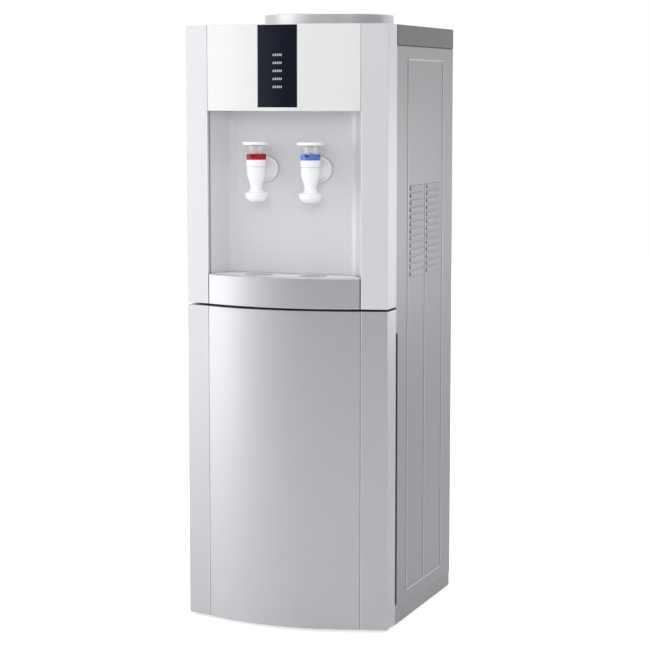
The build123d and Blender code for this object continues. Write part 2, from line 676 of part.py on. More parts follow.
for side, x in (("hot", -tap_x), ("cold", tap_x)):
    upright = Plane(origin=(x, tap_y, 0), x_dir=(1, 0, 0), z_dir=(0, -1, 0))
    spout_axis = Axis((x, tap_y, 0), (0, 0, 1))

    with BuildPart() as tap_body:
        # spout: collar neck, bulb, waist and flared foot
        with BuildSketch(upright):
            with BuildLine():
                Polyline(
                    (0, cap_top_z - 2 * seat_gap - 2.5),
                    (collar_neck_r, cap_top_z - 2 * seat_gap - 2.5),
                    (collar_neck_r, seam_z - seat_gap),
                    (bulb_r, seam_z - seat_gap),
                    (bulb_r, tap_axis_z - 4.0),
                )
                waist = ThreePointArc(
                    (bulb_r, tap_axis_z - 4.0),
                    (bulb_r - 1.6, tap_axis_z - 12.5),
                    (neck_r + 1.6, neck_z + 9.0),
                )
                TangentArc(waist @ 1, (neck_r, neck_z), tangent=waist % 1)
                ThreePointArc(
                    (neck_r, neck_z), (neck_r + 1.7, flare_z + 3.2), (flare_r - 2.0, flare_z + 0.6)
                )
                Polyline((flare_r - 2.0, flare_z + 0.6), (flare_r, flare_z - 0.6), (flare_r, flare_z - 5.5))
                ThreePointArc(
                    (flare_r, flare_z - 5.5),
                    (0.76 * flare_r, spout_bottom_z + 2.6),
                    (outlet_r + 1.0, spout_bottom_z),
                )
                Polyline(
                    (outlet_r + 1.0, spout_bottom_z),
                    (0, spout_bottom_z),
                    (0, cap_top_z - 2 * seat_gap - 2.5),
                )
            make_face()
        revolve(axis=spout_axis)
        # arm: a straight stub, then a cone that swells into the wall flange
        with BuildSketch(Plane.XZ.offset(-tap_y)):
            with Locations((x, arm_z)):
                Circle(arm_r)
        extrude(amount=-arm_length)
        with BuildSketch(Plane.XZ.offset(-(tap_y + arm_length))):
            with Locations((x, arm_z)):
                Circle(arm_r)
        with BuildSketch(Plane.XZ.offset(-flange_front_y - 0.5)):
            with Locations((x, tap_axis_z)):
                Circle(wall_flange_r - 3.5)
        loft()
        with BuildSketch(Plane.XZ.offset(-flange_front_y)):
            with Locations((x, tap_axis_z)):
                Circle(wall_flange_r)
        extrude(amount=-wall_flange)
        with BuildSketch(Plane.XZ.offset(-(flange_front_y + wall_flange))):
            with Locations((x, tap_axis_z)):
                Circle(tail_r)
        extrude(amount=-(thread_end_y - flange_front_y - wall_flange))
        with BuildSketch(Plane.XZ.offset(-thread_end_y)):
            with Locations((x, tap_axis_z)):
                Circle(spigot_r)
        extrude(amount=-(tail_end_y - thread_end_y))
        # water way: tail, sloping duct, chamber, seat and outlet
        with BuildSketch(Plane.XZ.offset(-tail_end_y)):
            with Locations((x, tap_axis_z)):
                Circle(spigot_bore_r)
        extrude(amount=tail_end_y - flange_front_y, mode=Mode.SUBTRACT)
        duct_rise = tap_axis_z - (seat_top_z + inlet_r)
        duct_run = flange_front_y - tap_y
        duct = Plane(
            origin=(x, tap_y, seat_top_z + inlet_r), x_dir=(1, 0, 0), z_dir=(0, duct_run, duct_rise)
        )
        with BuildSketch(duct):
            Circle(inlet_r - 0.7)
        extrude(amount=sqrt(duct_run**2 + duct_rise**2) + 1.0, mode=Mode.SUBTRACT)
        with BuildSketch(upright):
            with BuildLine():
                Polyline(
                    (0, cap_top_z),
                    (chamber_r, cap_top_z),
                    (chamber_r, seat_top_z),
                    (seat_bore_r, seat_top_z),
                    (seat_bore_r, seat_top_z - seat_thickness),
                    (lower_bore_r, seat_top_z - seat_thickness),
                    (lower_bore_r, neck_z - 6.0),
                    (outlet_r, neck_z - 8.0),
                    (outlet_r, spout_bottom_z),
                    (0, spout_bottom_z),
                    close=True,
                )
            make_face()
        revolve(axis=spout_axis, mode=Mode.SUBTRACT)
    tap_body.part.label = f"{side}_tap_body"
    export_step(tap_body.part, f"parts/{side}_tap_body.step")

    with BuildPart() as ring:
        with BuildSketch(upright):
            with BuildLine():
                Polyline(
                    (stem_r + stem_gap, cap_top_z + seat_gap / 2),
                    (tap_cap_r - 0.9, cap_top_z + seat_gap / 2),
                    (tap_cap_r - 0.4, cap_top_z + 0.8),
                    (tap_cap_r - 0.4, ring_top_z - 5.0),
                    (tap_cap_r - 1.0, ring_top_z - 1.2),
                    (tap_cap_r - 1.6, ring_top_z - 0.6),
                    (tap_cap_r - 0.4 - ring_wall, ring_top_z - 0.6),
                    (tap_cap_r - 0.4 - ring_wall, cap_top_z + ring_floor),
                    (stem_r + stem_gap + boss_wall, cap_top_z + ring_floor),
                    (stem_r + stem_gap + boss_wall, ring_top_z - 0.8),
                    (stem_r + stem_gap, ring_top_z),
                    close=True,
                )
            make_face()
        revolve(axis=spout_axis)
        # four gaps leave the crown's lobes
        with BuildSketch(Plane.XY.offset(ring_top_z)):
            with Locations((x, tap_y)):
                Rectangle(2 * tap_cap_r, 7.0)
                Rectangle(7.0, 2 * tap_cap_r)
                Circle(funnel_low_r, mode=Mode.SUBTRACT)
        extrude(amount=-5.0, mode=Mode.SUBTRACT)
    ring.part.label = f"{side}_ring"
    export_step(ring.part, f"parts/{side}_ring.step")

    with BuildPart() as button_disc:
        with BuildSketch(upright):
            with BuildLine():
                Polyline(
                    (0, disc_top_z - disc_thickness),
                    (disc_r - 0.8, disc_top_z - disc_thickness),
                    (disc_r, disc_top_z - disc_thickness + 0.8),
                    (disc_r, disc_top_z - 1.1),
                    (disc_r - 1.0, disc_top_z - 0.3),
                )
                TangentArc((0, disc_top_z), (disc_r - 1.0, disc_top_z - 0.3), tangent=(1, 0))
                Line((0, disc_top_z), (0, disc_top_z - disc_thickness))
            make_face()
        revolve(axis=spout_axis)
    button_disc.part.label = f"{side}_button_disc"
    export_step(button_disc.part, f"parts/{side}_button_disc.step")

    with BuildPart() as button_stem:
        funnel_top_z = disc_top_z - disc_thickness
        funnel_low_z = cap_top_z + ring_floor + button_travel + 1.0
        with BuildSketch(upright):
            with BuildLine():
                Polyline(
                    (0, funnel_top_z),
                    (funnel_high_r, funnel_top_z),
                    (funnel_low_r, funnel_low_z),
                    (funnel_low_r - funnel_wall, funnel_low_z),
                    (funnel_high_r - funnel_wall - 0.5, funnel_top_z - funnel_wall),
                    (stem_r, funnel_top_z - funnel_wall),
                    (stem_r, stem_flange_z),
                    (stem_flange_r, stem_flange_z),
                    (stem_flange_r, stem_flange_z - 2.0),
                    (thin_stem_r, stem_flange_z - 2.0),
                    (thin_stem_r, valve_top_z),
                    (valve_r, valve_top_z),
                    (valve_r, valve_top_z - 1.2),
                    (thin_stem_r + 1.5, valve_top_z - valve_height),
                    (0, valve_top_z - valve_height),
                    close=True,
                )
            make_face()
        revolve(axis=spout_axis)
    button_stem.part.label = f"{side}_button_stem"
    export_step(button_stem.part, f"parts/{side}_button_stem.step")

    with BuildPart() as spring:
        spring_low_z = seat_top_z + spring_wire_r + seat_gap
        spring_high_z = stem_flange_z - 2.0 - spring_wire_r - seat_gap
        coil = Helix(
            pitch=(spring_high_z - spring_low_z) / spring_turns,
            height=spring_high_z - spring_low_z,
            radius=spring_r,
            center=(x, tap_y, spring_low_z),
        )
        with BuildSketch(Plane(origin=coil @ 0, z_dir=coil % 0)):
            Circle(spring_wire_r)
        sweep(path=coil)
    spring.part.label = f"{side}_spring"
    export_step(spring.part, f"parts/{side}_spring.step")
    spring_pitch = (spring_high_z - spring_low_z) / spring_turns
    print(f"{side}_spring least gap between turns {spring_pitch - 2 * spring_wire_r:.2f} mm")

with BuildPart() as tap_caps:
    for x in (-tap_x, tap_x):
        with BuildSketch(Plane(origin=(x, tap_y, 0), x_dir=(1, 0, 0), z_dir=(0, -1, 0))):
            with BuildLine():
                Polyline(
                    (collar_neck_r + pin_clearance, seam_z),
                    (tap_cap_r - 0.5, seam_z),
                    (tap_cap_r, seam_z + 0.6),
                    (tap_cap_r, cap_top_z - 0.8),
                    (tap_cap_r - 0.8, cap_top_z),
                    (chamber_r, cap_top_z),
                    (chamber_r, cap_top_z - 2.0),
                    (collar_neck_r + pin_clearance, cap_top_z - 2.0),
                    close=True,
                )
            make_face()
        revolve(axis=Axis((x, tap_y, 0), (0, 0, 1)))
tap_caps.part.label = "tap_caps"
export_step(tap_caps.part, "parts/tap_caps.step")

with BuildPart() as tap_gaskets:
    with BuildSketch(Plane.XZ.offset(-alcove_back_y)):
        with Locations((-tap_x, tap_axis_z), (tap_x, tap_axis_z)):
            Circle(wall_flange_r - 1.5)
            Circle(tail_r + pin_clearance, mode=Mode.SUBTRACT)
    extrude(amount=gasket)
tap_gaskets.part.label = "tap_gaskets"
export_step(tap_gaskets.part, "parts/tap_gaskets.step")

with BuildPart() as tap_nuts:
    with BuildSketch(Plane.XZ.offset(-(alcove_back_y + liner_wall))):
        with Locations((-tap_x, tap_axis_z), (tap_x, tap_axis_z)):
            RegularPolygon(nut_flats_r, 6, major_radius=False)
            Circle(tail_r + pin_clearance, mode=Mode.SUBTRACT)
    extrude(amount=-nut_height)
tap_nuts.part.label = "tap_nuts"
export_step(tap_nuts.part, "parts/tap_nuts.step")

# ---- top cover, collar and lift-off cap ----
cover_wall = 2.5
cover_corner_r = 6.0
collar_y = rear_y - 154.0
collar_r = 112.0
collar_wall = 12.0
collar_height = 22.0
collar_ledge = 10.0
ledge_thickness = 3.0
cap_gap = 0.4
cap_bevel = 1.0
grip_r = 34.0
grip_bar = 13.0
grip_pocket = 8.0
cover_hole_r = collar_r - collar_wall - collar_ledge
collar_top_z = top_z + collar_height
collar_axis = Axis((0, collar_y, 0), (0, 0, 1))
collar_plane = Plane(origin=(0, collar_y, 0), x_dir=(1, 0, 0), z_dir=(0, -1, 0))

with BuildPart() as top_cover:
    with BuildSketch(Plane.XY.offset(cover_z)):
        with Locations((0, plinth_mid_y)):
            Rectangle(width, plinth_length)
    extrude(amount=cover_height)
    fillet(top_cover.edges().filter_by(Axis.Z).group_by(Axis.Y)[-1], radius=cover_corner_r)
    offset(amount=-cover_wall, openings=top_cover.faces().sort_by(Axis.Z)[0])
    with BuildSketch(Plane.XY.offset(top_z)):
        with Locations((0, collar_y)):
            Circle(cover_hole_r)
    extrude(amount=-cover_wall, mode=Mode.SUBTRACT)
    # inner skirt that drops behind the sheet
    with BuildSketch(Plane.XY.offset(cover_z - 10.0)) as skirt:
        with Locations((0, plinth_mid_y)):
            Rectangle(2 * (casing_inner_x - seat_gap), plinth_length - 2 * (sheet + seat_gap) - 2 * hem)
            Rectangle(
                2 * (casing_inner_x - seat_gap) - 2 * cover_wall,
                plinth_length,
                mode=Mode.SUBTRACT,
            )
    extrude(amount=cover_height - cover_wall / 2 + 10.0)
top_cover.part.label = "top_cover"
export_step(top_cover.part, "parts/top_cover.step")

with BuildPart() as collar:
    with BuildSketch(collar_plane):
        with BuildLine():
            Polyline(
                (cover_hole_r, top_z),
                (collar_r, top_z),
                (collar_r, collar_top_z - 1.0),
                (collar_r - 1.0, collar_top_z),
                (collar_r - collar_wall, collar_top_z),
                (collar_r - collar_wall, top_z + ledge_thickness),
                (cover_hole_r, top_z + ledge_thickness),
                close=True,
            )
        make_face()
    revolve(axis=collar_axis)
collar.part.label = "collar"
export_step(collar.part, "parts/collar.step")

with BuildPart() as collar_cap:
    cap_low_z = top_z + ledge_thickness + seat_gap
    cap_r = collar_r - collar_wall - cap_gap
    with BuildSketch(collar_plane):
        with BuildLine():
            Polyline(
                (0, cap_low_z),
                (cap_r, cap_low_z),
                (cap_r, collar_top_z - cap_bevel),
                (cap_r - 3 * cap_bevel, collar_top_z),
                (0, collar_top_z),
                close=True,
            )
        make_face()
    revolve(axis=collar_axis)
    # two half-round finger pockets leave a grip bar
    with BuildSketch(Plane.XY.offset(collar_top_z)):
        with Locations((0, collar_y)):
            Circle(grip_r)
            Rectangle(grip_bar, 2 * grip_r, mode=Mode.SUBTRACT)
    extrude(amount=-grip_pocket, mode=Mode.SUBTRACT)
collar_cap.part.label = "collar_cap"
export_step(collar_cap.part, "parts/collar_cap.step")

# ---- bottle cabinet: liner, catches ----
bay_half = half_width - 15.0
bay_floor_z = plinth_top_z + seat_gap + liner_wall
bay_top_z = door_top_z - 8.0
bay_back_y = rear_y - 24.5
bay_corner_r = 12.0
liner_flange_x = casing_inner_x - seat_gap
liner_top_z = bracket_zs[1] - 2.0
port_x = bay_half - 9.0
port_y = casing_front_y + 42.0
port_r = hose_r + 0.4
port_collar_r = 9.5
port_collar_drop = 10.0
catch_depth = 4.4

with BuildPart() as cabinet_liner:
    with BuildSketch(Plane.XY.offset(bay_floor_z - liner_wall)):
        with Locations((0, casing_front_y)):
            Rectangle(
                2 * (bay_half + liner_wall),
                bay_back_y + liner_wall - casing_front_y,
                align=(Align.CENTER, Align.MIN),
            )
    extrude(amount=bay_top_z - bay_floor_z + 2 * liner_wall)
    fillet(
        cabinet_liner.faces().sort_by(Axis.Y)[-1].edges(),
        radius=bay_corner_r + liner_wall,
    )
    offset(amount=-liner_wall, openings=cabinet_liner.faces().sort_by(Axis.Y)[0])
    # front flange between the side panels
    with BuildSketch(Plane.XZ.offset(-casing_front_y)):
        with Locations((0, (liner_top_z + plinth_top_z + seat_gap) / 2)):
            Rectangle(2 * liner_flange_x, liner_top_z - plinth_top_z - seat_gap)
        with Locations((0, (bay_floor_z + bay_top_z) / 2)):
            Rectangle(2 * bay_half, bay_top_z - bay_floor_z, mode=Mode.SUBTRACT)
    extrude(amount=-liner_wall)
    # collar round the hose port
    with BuildSketch(Plane.XY.offset(bay_top_z - port_collar_drop)):
        with Locations((port_x, port_y)):
            Circle(port_collar_r)
    extrude(amount=port_collar_drop)
    with BuildSketch(Plane.XY.offset(bay_top_z - port_collar_drop)):
        with Locations((port_x, port_y)):
            Circle(port_r)
    extrude(amount=port_collar_drop + liner_wall, mode=Mode.SUBTRACT)
cabinet_liner.part.label = "cabinet_liner"
export_step(cabinet_liner.part, "parts/cabinet_liner.step")

with BuildPart() as magnet_catches:
    with BuildSketch(Plane.XZ.offset(-casing_front_y)):
        with Locations(*[(catch_x, z) for z in catch_zs]):
            Rectangle(catch_width, 2 * catch_half_z)
    extrude(amount=catch_depth)
    chamfer(magnet_catches.faces().group_by(Axis.Y)[0].edges(), length=0.8)
magnet_catches.part.label = "magnet_catches"
export_step(magnet_catches.part, "parts/magnet_catches.step")

# ---- mid deck over the cabinet ----
deck_z = bracket_zs[1] + hinge_plate + seat_gap
deck_thickness = 1.2
deck_fold = 9.0
deck_front_y = casing_front_y + lip_reach + 2.0
deck_port_r = 9.0
deck_top_z = deck_z + deck_thickness
deck_half = casing_inner_x - seat_gap
deck_back_y = rear_y - 2 * (sheet + seat_gap)

with BuildPart() as mid_deck:
    with BuildSketch(Plane.XY.offset(deck_z)):
        with Locations((0, casing_front_y)):
            Rectangle(2 * deck_half, deck_back_y - casing_front_y, align=(Align.CENTER, Align.MIN))
        with Locations((port_x, port_y)):
            Circle(deck_port_r, mode=Mode.SUBTRACT)
    extrude(amount=deck_thickness)
    # corners cut back for the front frame's lips, and a rear upturn screwed to the back panel
    with BuildSketch(Plane.XY.offset(deck_z)):
        for sign in (-1, 1):
            with Locations((sign * half_width, casing_front_y)):
                Rectangle(
                    2 * (half_width - lip_in_x + seat_gap), 2 * (lip_reach + seat_gap)
                )
    extrude(amount=deck_thickness, mode=Mode.SUBTRACT)
    with BuildSketch(Plane.XY.offset(deck_z)):
        with Locations((0, deck_back_y)):
            Rectangle(2 * deck_half, deck_thickness, align=(Align.CENTER, Align.MAX))
    extrude(amount=deck_fold)
mid_deck.part.label = "mid_deck"
export_step(mid_deck.part, "parts/mid_deck.step")

# ---- cold tank in its foam jacket, on the tank stand ----
jacket_r = 94.0
jacket_low_z = split_z + 229.0
jacket_high_z = top_z - cover_wall - 8.0
jacket_lid_z = jacket_low_z + 130.0
lid_neck_r = cover_hole_r - 1.5
lid_neck_top_z = top_z + 0.5
tank_r = 70.0
tank_low_z = jacket_low_z + 25.0
tank_high_z = tank_low_z + 155.0
tank_wall = 1.2
tank_gap = 0.4
block_half = 22.0
block_z = tank_low_z + 50.0
sink_y = rear_y - 62.0
cold_spigot_x = 42.0
cold_spigot_y = collar_y - 34.0
hot_x = -18.0
hot_y = collar_y + 2.0
feed_spigot_x = hot_x + 22.0
feed_spigot_y = hot_y
fill_spigot_drop = 30.0  # below the tank's top
fill_spigot_z = tank_high_z - fill_spigot_drop
fill_spigot_reach = 36.0
low_spigot = 12.0  # below the jacket

with BuildPart() as cold_tank:
    with BuildSketch(Plane.XY.offset(tank_low_z)):
        with Locations((0, collar_y)):
            Circle(tank_r)
    extrude(amount=tank_high_z - tank_low_z)
    fillet(cold_tank.edges().filter_by(GeomType.CIRCLE), radius=8)
    offset(amount=-tank_wall, mode=Mode.SUBTRACT)
    with BuildSketch(Plane.XY.offset(jacket_low_z - low_spigot)):
        with Locations((cold_spigot_x, cold_spigot_y), (feed_spigot_x, feed_spigot_y)):
            Circle(spigot_r)
    extrude(amount=tank_low_z + tank_wall - jacket_low_z + low_spigot)
    with BuildSketch(Plane.XY.offset(jacket_low_z - low_spigot)):
        with Locations((cold_spigot_x, cold_spigot_y), (feed_spigot_x, feed_spigot_y)):
            Circle(spigot_bore_r)
    extrude(amount=tank_low_z + tank_wall - jacket_low_z + low_spigot, mode=Mode.SUBTRACT)
    with BuildSketch(Plane.YZ.offset(tank_r - tank_wall)):
        with Locations((collar_y, fill_spigot_z)):
            Circle(spigot_r)
    extrude(amount=tank_wall + fill_spigot_reach)
    with BuildSketch(Plane.YZ.offset(tank_r - 3 * tank_wall)):
        with Locations((collar_y, fill_spigot_z)):
            Circle(spigot_bore_r)
    extrude(amount=3 * tank_wall + fill_spigot_reach, mode=Mode.SUBTRACT)
cold_tank.part.label = "cold_tank"
export_step(cold_tank.part, "parts/cold_tank.step")

with BuildPart() as tank_jacket:
    for low, high in ((jacket_low_z, jacket_lid_z), (jacket_lid_z, jacket_high_z)):
        with BuildSketch(Plane.XY.offset(low)):
            with Locations((0, collar_y)):
                Circle(jacket_r)
        extrude(amount=high - low - seat_gap)
    with BuildSketch(Plane.XY.offset(jacket_high_z - seat_gap)):
        with Locations((0, collar_y)):
            Circle(lid_neck_r)
    extrude(amount=lid_neck_top_z - jacket_high_z + seat_gap)
    with BuildSketch(Plane.XY.offset(tank_low_z - tank_gap)):
        with Locations((0, collar_y)):
            Circle(tank_r + tank_gap)
    extrude(amount=tank_high_z - tank_low_z + 2 * tank_gap, mode=Mode.SUBTRACT)
    # ways for the spigots and the cooling block
    with BuildSketch(Plane.XY.offset(jacket_low_z)):
        with Locations((cold_spigot_x, cold_spigot_y), (feed_spigot_x, feed_spigot_y)):
            Circle(spigot_r + tank_gap)
    extrude(amount=tank_low_z - jacket_low_z, mode=Mode.SUBTRACT)
    with BuildSketch(Plane.XZ.offset(-collar_y)):
        with Locations((0, block_z)):
            Rectangle(2 * (block_half + tank_gap), 2 * (block_half + tank_gap))
    extrude(amount=-2 * jacket_r, mode=Mode.SUBTRACT)
    with BuildSketch(Plane.YZ):
        with Locations((collar_y, fill_spigot_z)):
            Circle(spigot_r + tank_gap)
    extrude(amount=2 * jacket_r, mode=Mode.SUBTRACT)
    # flat behind for the finned sink
    with BuildSketch(Plane.XY.offset(jacket_low_z)):
        with Locations((0, sink_y - seat_gap)):
            Rectangle(2 * jacket_r, jacket_r, align=(Align.CENTER, Align.MIN))
    extrude(amount=jacket_high_z - jacket_low_z, mode=Mode.SUBTRACT)
tank_jacket.part.label = "tank_jacket"
export_step(tank_jacket.part, "parts/tank_jacket.step")

stand_overhang = 18.0  # outside the tank at either side
stand_half = tank_r + stand_overhang
stand_depth = 70.0
stand_leg = 14.0
stand_sheet = 1.5
stand_top_z = jacket_low_z - seat_gap
stand_hole_r = 14.0

with BuildPart() as tank_stand:
    with BuildSketch(Plane.XY.offset(stand_top_z - stand_sheet)):
        with Locations((0, collar_y)):
            Rectangle(2 * stand_half, 2 * stand_depth)
        with Locations((cold_spigot_x, cold_spigot_y), (feed_spigot_x, feed_spigot_y)):
            Circle(stand_hole_r, mode=Mode.SUBTRACT)
    extrude(amount=stand_sheet)
    # four folded angle legs with feet on the deck
    for side_x, side_y in ((-1, -1), (-1, 1), (1, -1), (1, 1)):
        leg_x = side_x * (stand_half - stand_leg / 2)
        leg_y = collar_y + side_y * (stand_depth - stand_leg / 2)
        web_x = side_x * (stand_half - stand_sheet / 2)
        web_y = collar_y + side_y * (stand_depth - stand_sheet / 2)
        with BuildSketch(Plane.XY.offset(deck_top_z + seat_gap)):
            with Locations((web_x, leg_y)):
                Rectangle(stand_sheet, stand_leg)
            with Locations((leg_x, web_y)):
                Rectangle(stand_leg, stand_sheet)
        extrude(amount=stand_top_z - stand_sheet / 2 - deck_top_z - seat_gap)
        with BuildSketch(Plane.XY.offset(deck_top_z + seat_gap)):
            with Locations((leg_x, leg_y)):
                Rectangle(stand_leg, stand_leg)
        extrude(amount=stand_sheet)
tank_stand.part.label = "tank_stand"
export_step(tank_stand.part, "parts/tank_stand.step")

# ---- thermoelectric cooling: block, finned sink, fan ----
block_front_y = collar_y + tank_r + seat_gap
sink_half = 55.0
sink_base = 6.0
fin_count = 15
fin_thickness = 1.5
fan_half = 46.0
fan_depth = 25.0
fan_front_y = rear_y - sheet - seat_gap - fan_depth
fin_reach = fan_front_y - seat_gap - sink_y - sink_base
fan_bore_r = 43.0
fan_hub_r = 14.0
fan_wall = 4.0
fan_strut = 5.0
fan_strut_depth = 4.0
fan_corner_hole_r = 2.2
fan_hole_pitch = 82.5
blade_count = 7
blade_tip_r = fan_bore_r - 1.2
blade_thickness = 1.6
rotor_depth = 17.0
shaft_r = 2.0
shaft_clearance = 0.05

with BuildPart() as cooling_block:
    with BuildSketch(Plane.XZ.offset(-block_front_y)):
        with Locations((0, block_z)):
            Rectangle(2 * block_half, 2 * block_half)
    extrude(amount=-(sink_y - seat_gap - block_front_y))
cooling_block.part.label = "cooling_block"
export_step(cooling_block.part, "parts/cooling_block.step")

with BuildPart() as heat_sink:
    with BuildSketch(Plane.XZ.offset(-sink_y)):
        with Locations((0, block_z)):
            Rectangle(2 * sink_half, 2 * sink_half)
    extrude(amount=-sink_base)
    with BuildSketch(Plane.XZ.offset(-(sink_y + sink_base))):
        with Locations((0, block_z)):
            with GridLocations((2 * sink_half - fin_thickness) / (fin_count - 1), 0, fin_count, 1):
                Rectangle(fin_thickness, 2 * sink_half)
    extrude(amount=-fin_reach)
heat_sink.part.label = "heat_sink"
export_step(heat_sink.part, "parts/heat_sink.step")

with BuildPart() as fan_frame:
    with BuildSketch(Plane.XZ.offset(-fan_front_y)):
        with Locations((0, block_z)):
            RectangleRounded(2 * fan_half, 2 * fan_half, 5.0)
            Circle(fan_bore_r, mode=Mode.SUBTRACT)
            with GridLocations(fan_hole_pitch, fan_hole_pitch, 2, 2):
                Circle(fan_corner_hole_r, mode=Mode.SUBTRACT)
    extrude(amount=-fan_depth)
    # motor plate on three struts, with the rotor's shaft
    with BuildSketch(Plane.XZ.offset(-fan_front_y)):
        with Locations((0, block_z)):
            Circle(fan_hub_r)
            with PolarLocations((fan_bore_r + fan_hub_r) / 2, 3, start_angle=90):
                Rectangle(fan_bore_r - fan_hub_r + 2 * fan_wall, fan_strut)
    extrude(amount=-fan_strut_depth)
    with BuildSketch(Plane.XZ.offset(-(fan_front_y + fan_strut_depth))):
        with Locations((0, block_z)):
            Circle(shaft_r)
    extrude(amount=-(rotor_depth - 4.0))
fan_frame.part.label = "fan_frame"
export_step(fan_frame.part, "parts/fan_frame.step")

with BuildPart() as fan_rotor:
    rotor_y = fan_front_y + fan_strut_depth + 0.6
    with BuildSketch(Plane.XZ.offset(-rotor_y)):
        with Locations((0, block_z)):
            Circle(fan_hub_r + 2.0)
    extrude(amount=-rotor_depth)
    # pitched blades: each lofts from a root line to a twisted tip line
    for blade in range(blade_count):
        turn = Rotation(0, 360.0 / blade_count * blade, 0)
        with BuildPart(mode=Mode.PRIVATE) as one_blade:
            root = Plane(origin=(fan_hub_r, 0, 0), x_dir=(0, 0, 1), z_dir=(1, 0, 0))
            tip = Plane(origin=(blade_tip_r, 0, 0), x_dir=(0, 0, 1), z_dir=(1, 0, 0))
            with BuildSketch(root):
                Rectangle(9.0, blade_thickness, rotation=48)
            with BuildSketch(tip):
                Rectangle(19.0, blade_thickness, rotation=30)
            loft()
        middle = Location((0, rotor_y + rotor_depth / 2, block_z))
        add(middle * turn * one_blade.part)
    with BuildSketch(Plane.XZ.offset(-rotor_y)):
        with Locations((0, block_z)):
            Circle(shaft_r + shaft_clearance)
    extrude(amount=-(rotor_depth - 3.0), mode=Mode.SUBTRACT)
fan_rotor.part.label = "fan_rotor"
export_step(fan_rotor.part, "parts/fan_rotor.step")

# ---- hot tank with heater band and thermostats ----
hot_r = 48.0
hot_low_z = split_z + 54.0
hot_high_z = hot_low_z + 142.0
hot_leg_r = 4.0
hot_leg_pcd_r = 34.0
band_low_z = hot_low_z + 22.0
band_height = 42.0
band_thickness = 3.0
stat_r = 8.0
stat_depth = 10.0
hot_out_z = hot_high_z - 14.0
hot_spigot = 14.0

with BuildPart() as hot_tank:
    with BuildSketch(Plane.XY.offset(hot_low_z)):
        with Locations((hot_x, hot_y)):
            Circle(hot_r)
    extrude(amount=hot_high_z - hot_low_z)
    fillet(hot_tank.edges().filter_by(GeomType.CIRCLE), radius=9)
    offset(amount=-tank_wall, mode=Mode.SUBTRACT)
    # legs down to the deck
    with BuildSketch(Plane.XY.offset(deck_top_z + seat_gap)):
        with Locations((hot_x, hot_y)):
            with PolarLocations(hot_leg_pcd_r, 3, start_angle=60):
                Circle(hot_leg_r)
    extrude(amount=hot_low_z - deck_top_z - seat_gap + tank_wall)
    # inlet on top, drain underneath, outlet to the tap in front
    with BuildSketch(Plane.XY.offset(hot_high_z - tank_wall)):
        with Locations((feed_spigot_x, feed_spigot_y)):
            Circle(spigot_r)
    extrude(amount=tank_wall + hot_spigot)
    with BuildSketch(Plane.XY.offset(hot_low_z + tank_wall)):
        with Locations((hot_x, hot_y)):
            Circle(spigot_r)
    extrude(amount=-(tank_wall + hot_spigot))
    with BuildSketch(Plane.XZ.offset(-(hot_y - hot_r + tank_wall))):
        with Locations((hot_x, hot_out_z)):
            Circle(spigot_r)
    extrude(amount=tank_wall + hot_spigot)
    with BuildSketch(Plane.XY.offset(hot_high_z - 3 * tank_wall)):
        with Locations((feed_spigot_x, feed_spigot_y)):
            Circle(spigot_bore_r)
    extrude(amount=3 * tank_wall + hot_spigot, mode=Mode.SUBTRACT)
    with BuildSketch(Plane.XY.offset(hot_low_z + 3 * tank_wall)):
        with Locations((hot_x, hot_y)):
            Circle(spigot_bore_r)
    extrude(amount=-(3 * tank_wall + hot_spigot), mode=Mode.SUBTRACT)
    with BuildSketch(Plane.XZ.offset(-(hot_y - hot_r + 3 * tank_wall))):
        with Locations((hot_x, hot_out_z)):
            Circle(spigot_bore_r)
    extrude(amount=3 * tank_wall + hot_spigot, mode=Mode.SUBTRACT)
hot_tank.part.label = "hot_tank"
export_step(hot_tank.part, "parts/hot_tank.step")

with BuildPart() as heater_band:
    with BuildSketch(Plane.XY.offset(band_low_z)):
        with Locations((hot_x, hot_y)):
            Circle(hot_r + seat_gap + band_thickness)
            Circle(hot_r + seat_gap, mode=Mode.SUBTRACT)
        # clamp ears and the slit between them
        with Locations((hot_x - hot_r - band_thickness - 4.0, hot_y)):
            Rectangle(12.0, 9.0)
        with Locations((hot_x, hot_y)):
            Circle(hot_r + seat_gap, mode=Mode.SUBTRACT)
        with Locations((hot_x - hot_r - 4.0, hot_y)):
            Rectangle(24.0, 3.0, mode=Mode.SUBTRACT)
    extrude(amount=band_height)
heater_band.part.label = "heater_band"
export_step(heater_band.part, "parts/heater_band.step")

with BuildPart() as thermostats:
    with BuildSketch(Plane.XZ.offset(-(hot_y - hot_r - seat_gap))):
        with Locations((hot_x, band_low_z + band_height + 16.0), (hot_x, band_low_z + band_height + 40.0)):
            Circle(stat_r)
    extrude(amount=stat_depth)
thermostats.part.label = "thermostats"
export_step(thermostats.part, "parts/thermostats.step")

# ---- water pump and power supply on the deck ----
pump_x = half_width - 60.0
pump_y = rear_y - 172.0  # front face of the pump head
pump_axis_z = split_z + 39.0
pump_head_half = 18.0
pump_head_depth = 32.0
pump_motor_r = 15.5
pump_motor_length = 52.0
pump_port_x = 8.0
pump_port_length = 10.0
pump_foot_half = 15.0

